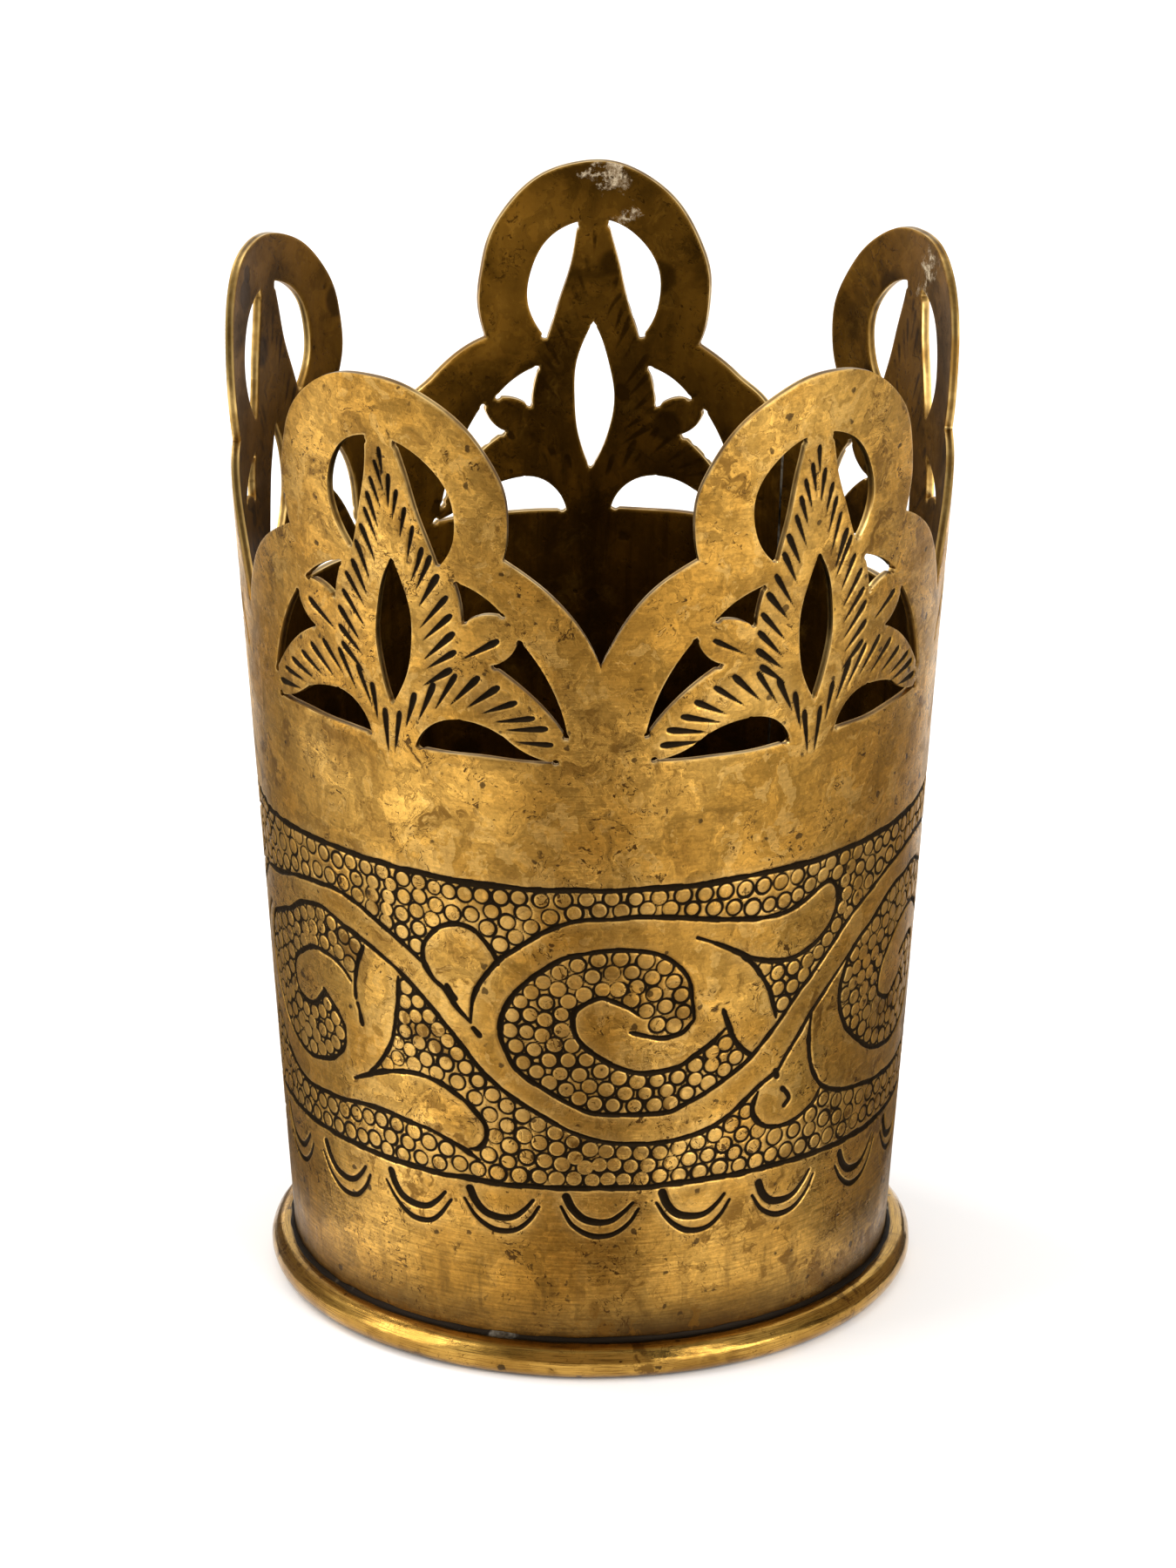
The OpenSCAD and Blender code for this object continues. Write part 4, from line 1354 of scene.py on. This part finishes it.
# Carries a closed profile of (radius, height) round the axis, from the seam back to it, with its left side
# metal. shift(azimuth, radius, z) gives a change of radius and of height. A profile that starts and ends on
# the axis has poles: there it takes one point each, with a fan of triangles.
def carryRound(name, profile, columns, material, node, shift, values=None, poles=False, sharpAt=62):
    profile = np.asarray(profile, float)
    azimuth = np.linspace(sheet["seamAzimuth"], sheet["seamAzimuth"] + 360, columns, endpoint=False)
    aa, rr = np.meshgrid(azimuth, profile[:, 0], indexing="ij")
    zz = np.broadcast_to(profile[:, 1], aa.shape)
    dr, dz = shift(aa, rr, zz)
    rr, zz = rr + dr, zz + dz
    points = roundPoints(aa, rr, zz).reshape(-1, 3)
    n, m = len(azimuth), len(profile)
    quads = carriedQuads(n, m, True)
    polygons = [quads.reshape(-1, 4)]
    uv = np.stack([np.radians(aa) * 32, np.broadcast_to(np.arange(m), aa.shape) * 0.4], -1)
    uv = uv.reshape(-1, 2) / sheet["uvSize"]
    fields = {key: np.broadcast_to(value(aa, rr, zz), aa.shape).ravel()
              for key, value in (values or {}).items()}
    if poles:
        low, high = len(points), len(points) + 1
        points = np.vstack([points, [[0, 0, profile[0, 1] * mm], [0, 0, profile[-1, 1] * mm]]])
        k = np.arange(n)
        nextK = (k + 1) % n
        fanLow = np.stack([np.full(n, low), nextK * m + 1, k * m + 1], -1)
        fanHigh = np.stack([np.full(n, high), k * m + m - 2, nextK * m + m - 2], -1)
        polygons = [quads[:, 1:m - 2].reshape(-1, 4), fanLow, fanHigh]
        uv = np.vstack([uv, np.zeros((2, 2))])
        used = np.unique(np.concatenate([p.ravel() for p in polygons]))
        remap = np.full(len(points), -1)
        remap[used] = np.arange(len(used))
        points, uv = points[used], uv[used]
        polygons = [remap[p] for p in polygons]
    piece = addPiece(name, points, polygons, [0] * len(polygons), [material], fields, uv, sharpAt)
    seat(piece, node)


# The plain foot of the sleeve under the frieze: up the outer face and down the inner one, open at the seam
def makeSleeveFoot():
    gap = seamGap(6)
    z = np.linspace(0, frieze["low"], 22)
    profile = np.vstack([np.stack([radiusAt(z), z], -1),
                         np.stack([radiusAt(z[::-1]) - sheet["thickness"], z[::-1]], -1)])
    azimuths = np.linspace(sheet["seamAzimuth"] - 360 + gap, sheet["seamAzimuth"] - gap, 721)
    aa, rr = np.meshgrid(azimuths, profile[:, 0], indexing="ij")
    zz = np.broadcast_to(profile[:, 1], aa.shape)
    points = roundPoints(aa, rr - unevenness(aa, zz), zz).reshape(-1, 3)
    n, m, rows = len(azimuths), len(profile), len(z)
    quads = carriedQuads(n, m)
    parts = (slice(rows - 1), slice(rows, m - 1), [rows - 1, m - 1])
    faces = [quads[:, part].reshape(-1, 4) for part in parts]
    piece = addPiece("sleeve_foot", points, faces + endCaps(n, m), [0, 1, 2, 2, 2], sheetMetals,
                     {"chase": np.full(len(points), -1.0), "halo": np.zeros(len(points))}, sheetUv(aa, zz))
    seat(piece, "sleeve")


makeSleeveFoot()

footRing = {
    "height": 3.5, "proud": 2.6, "columns": 720,
    "seatRadius": 30.02,       # of its inner face at the table, just outside the sleeve
    "topRadius": 30.24,        # of its inner face at the top
    "dent": 0.06,              # how uneven the rolled bead is
    "ridge": 0.06,
}


# The foot ring's section: up its inner face against the sleeve, over a sloping shoulder with a faint
# ridge, round the bead and back under it. Small slow waves make it hand-bent.
def makeFootRing():
    half = footRing["height"] / 2
    middle = sheet["footRadius"] + footRing["proud"] - half
    t = np.radians(np.linspace(90, -90, 25))
    bead = np.stack([middle + half * np.cos(t), half + half * np.sin(t)], -1)
    shoulder = [(footRing["seatRadius"], 0.0), (footRing["topRadius"], footRing["height"]),
                (30.55, footRing["height"] - 0.02)]

    def shift(a, r, z):
        turn = np.radians(a)
        outside = smoothStep((r - 30.5) / 1.2)
        wave = 0.5 + 0.2 * (np.sin(17 * turn + 0.3) + 0.7 * np.sin(29 * turn + 1.1) + np.sin(7 * turn)
                            + 0.3 * np.sin(61 * turn + z) + 0.2 * np.sin(97 * turn + 3 * z))
        ridge = footRing["ridge"] * np.exp(-((z - 2.75) / 0.16) ** 2)
        return -outside * (footRing["dent"] * wave + ridge), -0.02 * outside * wave * (z > 1)

    # painted shade: dark against the sleeve in the crease and, fainter, under the bead by the table
    def creaseShade(a, r, z):
        return smoothStep((30.95 - r) / 0.55) * (z > 2) + smoothStep((0.45 - z) / 0.4) * 0.6

    carryRound("foot_ring_bead", np.vstack([shoulder, bead])[::-1], footRing["columns"], ringBrass,
               "foot_ring", shift, {"creaseShade": creaseShade})


makeFootRing()

footSolder = {"inner": 30.20, "leg": 0.42, "bury": 0.1, "columns": 720}


# Solder round the top of the foot ring, a hollow fillet that swells and thins out
def makeFootSolder():
    z0, leg, inner = footRing["height"], footSolder["leg"], footSolder["inner"]
    t = np.linspace(0, 1, 6)
    hollow = np.stack([footRing["topRadius"] + leg * (1 - t) ** 1.5 + 0.04 * t, z0 + leg * t ** 1.5], -1)

    def shift(a, r, z):
        turn = np.radians(a)
        swell = 0.22 * (np.sin(23 * turn) * np.sin(9 * turn + 1) + 0.6 * np.sin(41 * turn + 2))
        return (r - inner) * swell * 0.8 - unevenness(a, z) * 0.5, (z - z0) * swell * 0.7 * (z > z0)

    carryRound("foot_solder_fillet", np.vstack([[(inner, z0 - footSolder["bury"])], hollow]),
               footSolder["columns"], footSolderMetal, "foot_solder", shift)


makeFootSolder()

floorPlate = {"thickness": 1.2, "bevel": 0.6, "dish": 0.05, "dishRadius": 26, "columns": 256}


# The floor plate: a disc with a bevelled upper edge, faintly dished, closed at both poles
def makeFloorPlate():
    t, b, wall = floorPlate["thickness"], floorPlate["bevel"], sheet["thickness"]
    edge = [(radiusAt(0) - wall, 0), (radiusAt(t - b) - wall, t - b), (radiusAt(t) - wall - b, t)]
    under = [(r, 0) for r in np.linspace(0, radiusAt(0) - wall, 12)[:-1]]
    over = [(r, t) for r in np.linspace(radiusAt(t) - wall - b, 0, 60)[1:]]

    def shift(a, r, z):
        dish = floorPlate["dish"] * (1 - smoothStep(r / floorPlate["dishRadius"]))
        return np.zeros_like(r), -dish * (z > 1)

    carryRound("floor_plate_disc", under + edge + over, floorPlate["columns"], plateBrass,
               "floor_plate", shift, poles=True, sharpAt=30)


makeFloorPlate()

floorSolder = {"leg": 0.6, "columns": 512}


# Solder in the bevel round the floor plate, a hollow fillet up the wall
def makeFloorSolder():
    t, b, wall, leg = floorPlate["thickness"], floorPlate["bevel"], sheet["thickness"], floorSolder["leg"]
    s = np.linspace(0, 1, 6)
    outR, outZ = radiusAt(t + leg) - wall, t + leg
    inR, inZ = radiusAt(t) - wall - b, t
    hollow = np.stack([outR + (inR - outR) * s ** 0.7, outZ + (inZ - outZ) * (1 - (1 - s) ** 1.6)], -1)

    def shift(a, r, z):
        turn = np.radians(a)
        swell = 0.18 * (np.sin(19 * turn) * np.sin(7 * turn + 2) + 0.5 * np.sin(37 * turn))
        return np.zeros_like(r), -(z - t) * (z > t) * np.maximum(swell, -0.05)

    carryRound("floor_solder_fillet", np.vstack([[(radiusAt(t - b) - wall, t - b)], hollow]),
               floorSolder["columns"], floorSolderMetal, "floor_solder", shift)


makeFloorSolder()

seam = {
    "bottom": 0.02, "top": 76.9, "rows": 380,
    "proud": 0.05,             # how far the brazing stands out of both faces
    "flatBelow": 4.4,          # up to where the ring and its solder cover it
    "inset": 0.02,             # of its sides behind the sheet's faces
}


# The brazed joint: a narrow strip between the sheet's two edges, slightly proud and beaded on both faces.
# Its section has six points, three on each face, and the strip runs up it.
def makeSeam():
    z = np.linspace(seam["bottom"], seam["top"], seam["rows"])
    half, inset, thick = sheet["seamHalfWidth"], seam["inset"], sheet["thickness"]
    bead = seam["proud"] * (0.4 + 0.6 * np.abs(np.sin(z * 1.9) * np.sin(z * 0.73 + 0.4)))
    bead = bead * (z > seam["flatBelow"])
    face = unevenness(sheet["seamAzimuth"], z)
    rise = np.stack([face + inset, face - bead, face + inset,
                     face + thick - inset, face + thick + bead, face + thick - inset], -1)
    side = np.array([-half, 0, half, half, 0, -half])
    zz = np.broadcast_to(z[:, None], rise.shape)
    azimuth = sheet["seamAzimuth"] + np.degrees(side[None, :] / (radiusAt(zz) - rise))
    n, m = rise.shape
    quads = carriedQuads(n, m)[..., [0, 3, 2, 1]].reshape(-1, 4)
    caps = [cap[:, ::-1] for cap in endCaps(n, m)]
    points = sheetPoints(azimuth, zz, rise).reshape(-1, 3)
    piece = addPiece("side_seam_bead", points, [quads] + caps, [0, 0, 0], [seamMetal])
    seat(piece, "side_seam")


makeSeam()
print("ring, solder, floor and seam built")

# Table, studio light and camera

studio = {
    "tableTone": 0.97, "tableSize": 3.0, "tableDrop": 0.00002,
    "shadowTone": 0.55,        # of the table as the metal's own light sees it
    "worldLight": 0.80,
    # soft boxes: name, then azimuth, height, distance, width and length in metres, and power
    "lamps": [("lampLeft", -72, 0.42, 0.85, 0.42, 0.9, 4.3), ("lampRight", 44, 0.40, 0.85, 0.60, 0.9, 6.8),
              ("lampTop", 160, 1.15, 0.35, 0.9, 0.9, 2.0), ("lampHigh", -122, 0.76, 0.62, 0.34, 0.34, 2.6)],
    "lampAim": (0, 0, 0.05),
    # cards that only reflections show: azimuth, tone, then distance, height and width of the near edge
    # and of the far edge, and how much a card glows, which makes a glowing card a painted reflection
    "cards": [(-3, 0.54, (0.040, 0.001, 0.024), (0.17, 0.28, 0.11), 0.0),
              (-26, 0.50, (0.067, 0.056, 0.020), (0.11, 0.15, 0.045), 0.0),
              (87, 0.55, (0.040, 0.001, 0.034), (0.17, 0.32, 0.13), 0.0),
              (90, 0.10, (0.038, 0.001, 0.052), (0.080, 0.030, 0.11), 0.0),
              (-101, 0.38, (0.040, 0.001, 0.024), (0.17, 0.32, 0.115), 0.0),
              (-103, 0.28, (0.038, 0.001, 0.048), (0.080, 0.030, 0.100), 0.0),
              (-2, 0.04, (0.20, 0.36, 0.34), (0.46, 0.19, 0.70), 0.0),
              (0, 0.42, (-0.10, 0.36, 0.40), (0.20, 0.36, 0.40), 0.0),
              (82, 0.36, (0.38, 0.10, 0.46), (0.20, 0.38, 0.36), 0.0),
              # a pale card that glows though it is no lamp: a painted reflection along the metal's left edge
              (-141, 0.90, (0.078, 0.002, 0.040), (0.20, 0.07, 0.13), 0.50)],
}

camera = {
    "lens": 206.36, "sensor": 36, "clip": (0.05, 20),
    "place": (-0.020365, -0.837893, 0.38513),
    "right": (0.99973, -0.02296, 0.00225),
    "up": (0.00642, 0.37028, 0.92890),
    "back": (-0.02216, -0.92864, 0.37033),
}


# Puts an object into the scene
def place(name, data):
    made = bpy.data.objects.new(name, data)
    bpy.context.scene.collection.objects.link(made)
    return made


# One flat face with a material
def addFace(name, corners, material):
    mesh = bpy.data.meshes.new(name)
    mesh.from_pydata(corners, [], [(0, 1, 2, 3)])
    mesh.materials.append(material)
    return place(name, mesh)


# One for rays that show the background itself: from the camera, off metal or through glass
def showsBackground(tree):
    path = newNode(tree, "ShaderNodeLightPath").outputs
    shown = Value(path["Is Camera Ray"]) + Value(path["Is Glossy Ray"]) + Value(path["Is Transmission Ray"])
    return shown.held()


# A pale table top just under the foot, darker for the light that it throws back
def makeTable():
    size, grey = studio["tableSize"], studio["shadowTone"]
    material, tree, shader = newMaterial("paleTable", 0.0)
    tone = mixed(tree, showsBackground(tree), (grey, grey, grey, 1), (studio["tableTone"],) * 3 + (1,))
    tree.links.new(tone.socket, shader.inputs["Base Color"])
    shader.inputs["Roughness"].default_value = 0.9
    shader.inputs["Specular IOR Level"].default_value = 0.0
    corners = [(-size, -size, 0), (size, -size, 0), (size, size, 0), (-size, size, 0)]
    table = addFace("table", corners, material)
    table.location.z = -studio["tableDrop"]


# An even white world, a little dimmer as a light than as a background
def makeWorld():
    world = bpy.data.worlds.new("studio")
    bpy.context.scene.world = world
    world.use_nodes = True
    tree = world.node_tree
    background = tree.nodes["Background"]
    strength = showsBackground(tree).even(0.0, 1.0, studio["worldLight"], 1.0)
    tree.links.new(strength.socket, background.inputs["Strength"])
    background.inputs["Color"].default_value = (1, 1, 1, 1)


# Cards seen by reflections alone, so that the metal shows darker bands between the lamps; a glowing card is a
# painted reflection
def makeCards():
    for index, (azimuth, tone, near, far, paintedGlow) in enumerate(studio["cards"]):
        material, tree, shader = newMaterial("card_%d" % index, 0.0)
        shader.inputs["Base Color"].default_value = (tone, 0.95 * tone, 0.86 * tone, 1)
        shader.inputs["Emission Color"].default_value = (1.0, 0.96, 0.90, 1)
        shader.inputs["Emission Strength"].default_value = paintedGlow
        shader.inputs["Roughness"].default_value = 1.0
        shader.inputs["Specular IOR Level"].default_value = 0.0
        a = math.radians(azimuth)
        out, across = Vector((math.sin(a), -math.cos(a), 0)), Vector((math.cos(a), math.sin(a), 0))
        corners = [tuple(out * away + across * width * side / 2 + Vector((0, 0, height)))
                   for (away, height, width), side in ((near, -1), (near, 1), (far, 1), (far, -1))]
        card = addFace("card_%d" % index, corners, material)
        card.visible_camera = card.visible_diffuse = card.visible_shadow = card.visible_transmission = False


# Soft boxes that face the object
def makeLamps():
    for name, azimuth, height, away, width, tall, power in studio["lamps"]:
        light = bpy.data.lights.new(name, "AREA")
        light.shape = "RECTANGLE"
        light.size, light.size_y, light.energy = width, tall, power
        lamp = place(name, light)
        a = math.radians(azimuth)
        lamp.location = (away * math.sin(a), -away * math.cos(a), height)
        aim = Vector(studio["lampAim"]) - lamp.location
        lamp.rotation_euler = aim.to_track_quat("-Z", "Y").to_euler()


# The camera that was fitted to the photograph
def makeCamera():
    made = place("camera", bpy.data.cameras.new("camera"))
    made.data.sensor_width, made.data.lens = camera["sensor"], camera["lens"]
    made.data.clip_start, made.data.clip_end = camera["clip"]
    turn = Matrix([camera[k] for k in ("right", "up", "back")]).transposed()
    made.matrix_world = Matrix.Translation(camera["place"]) @ turn.to_4x4()
    bpy.context.scene.camera = made


makeTable()
makeCards()
makeWorld()
makeLamps()
makeCamera()
bpy.context.scene.view_settings.view_transform = "Standard"
print("table, light and camera set")
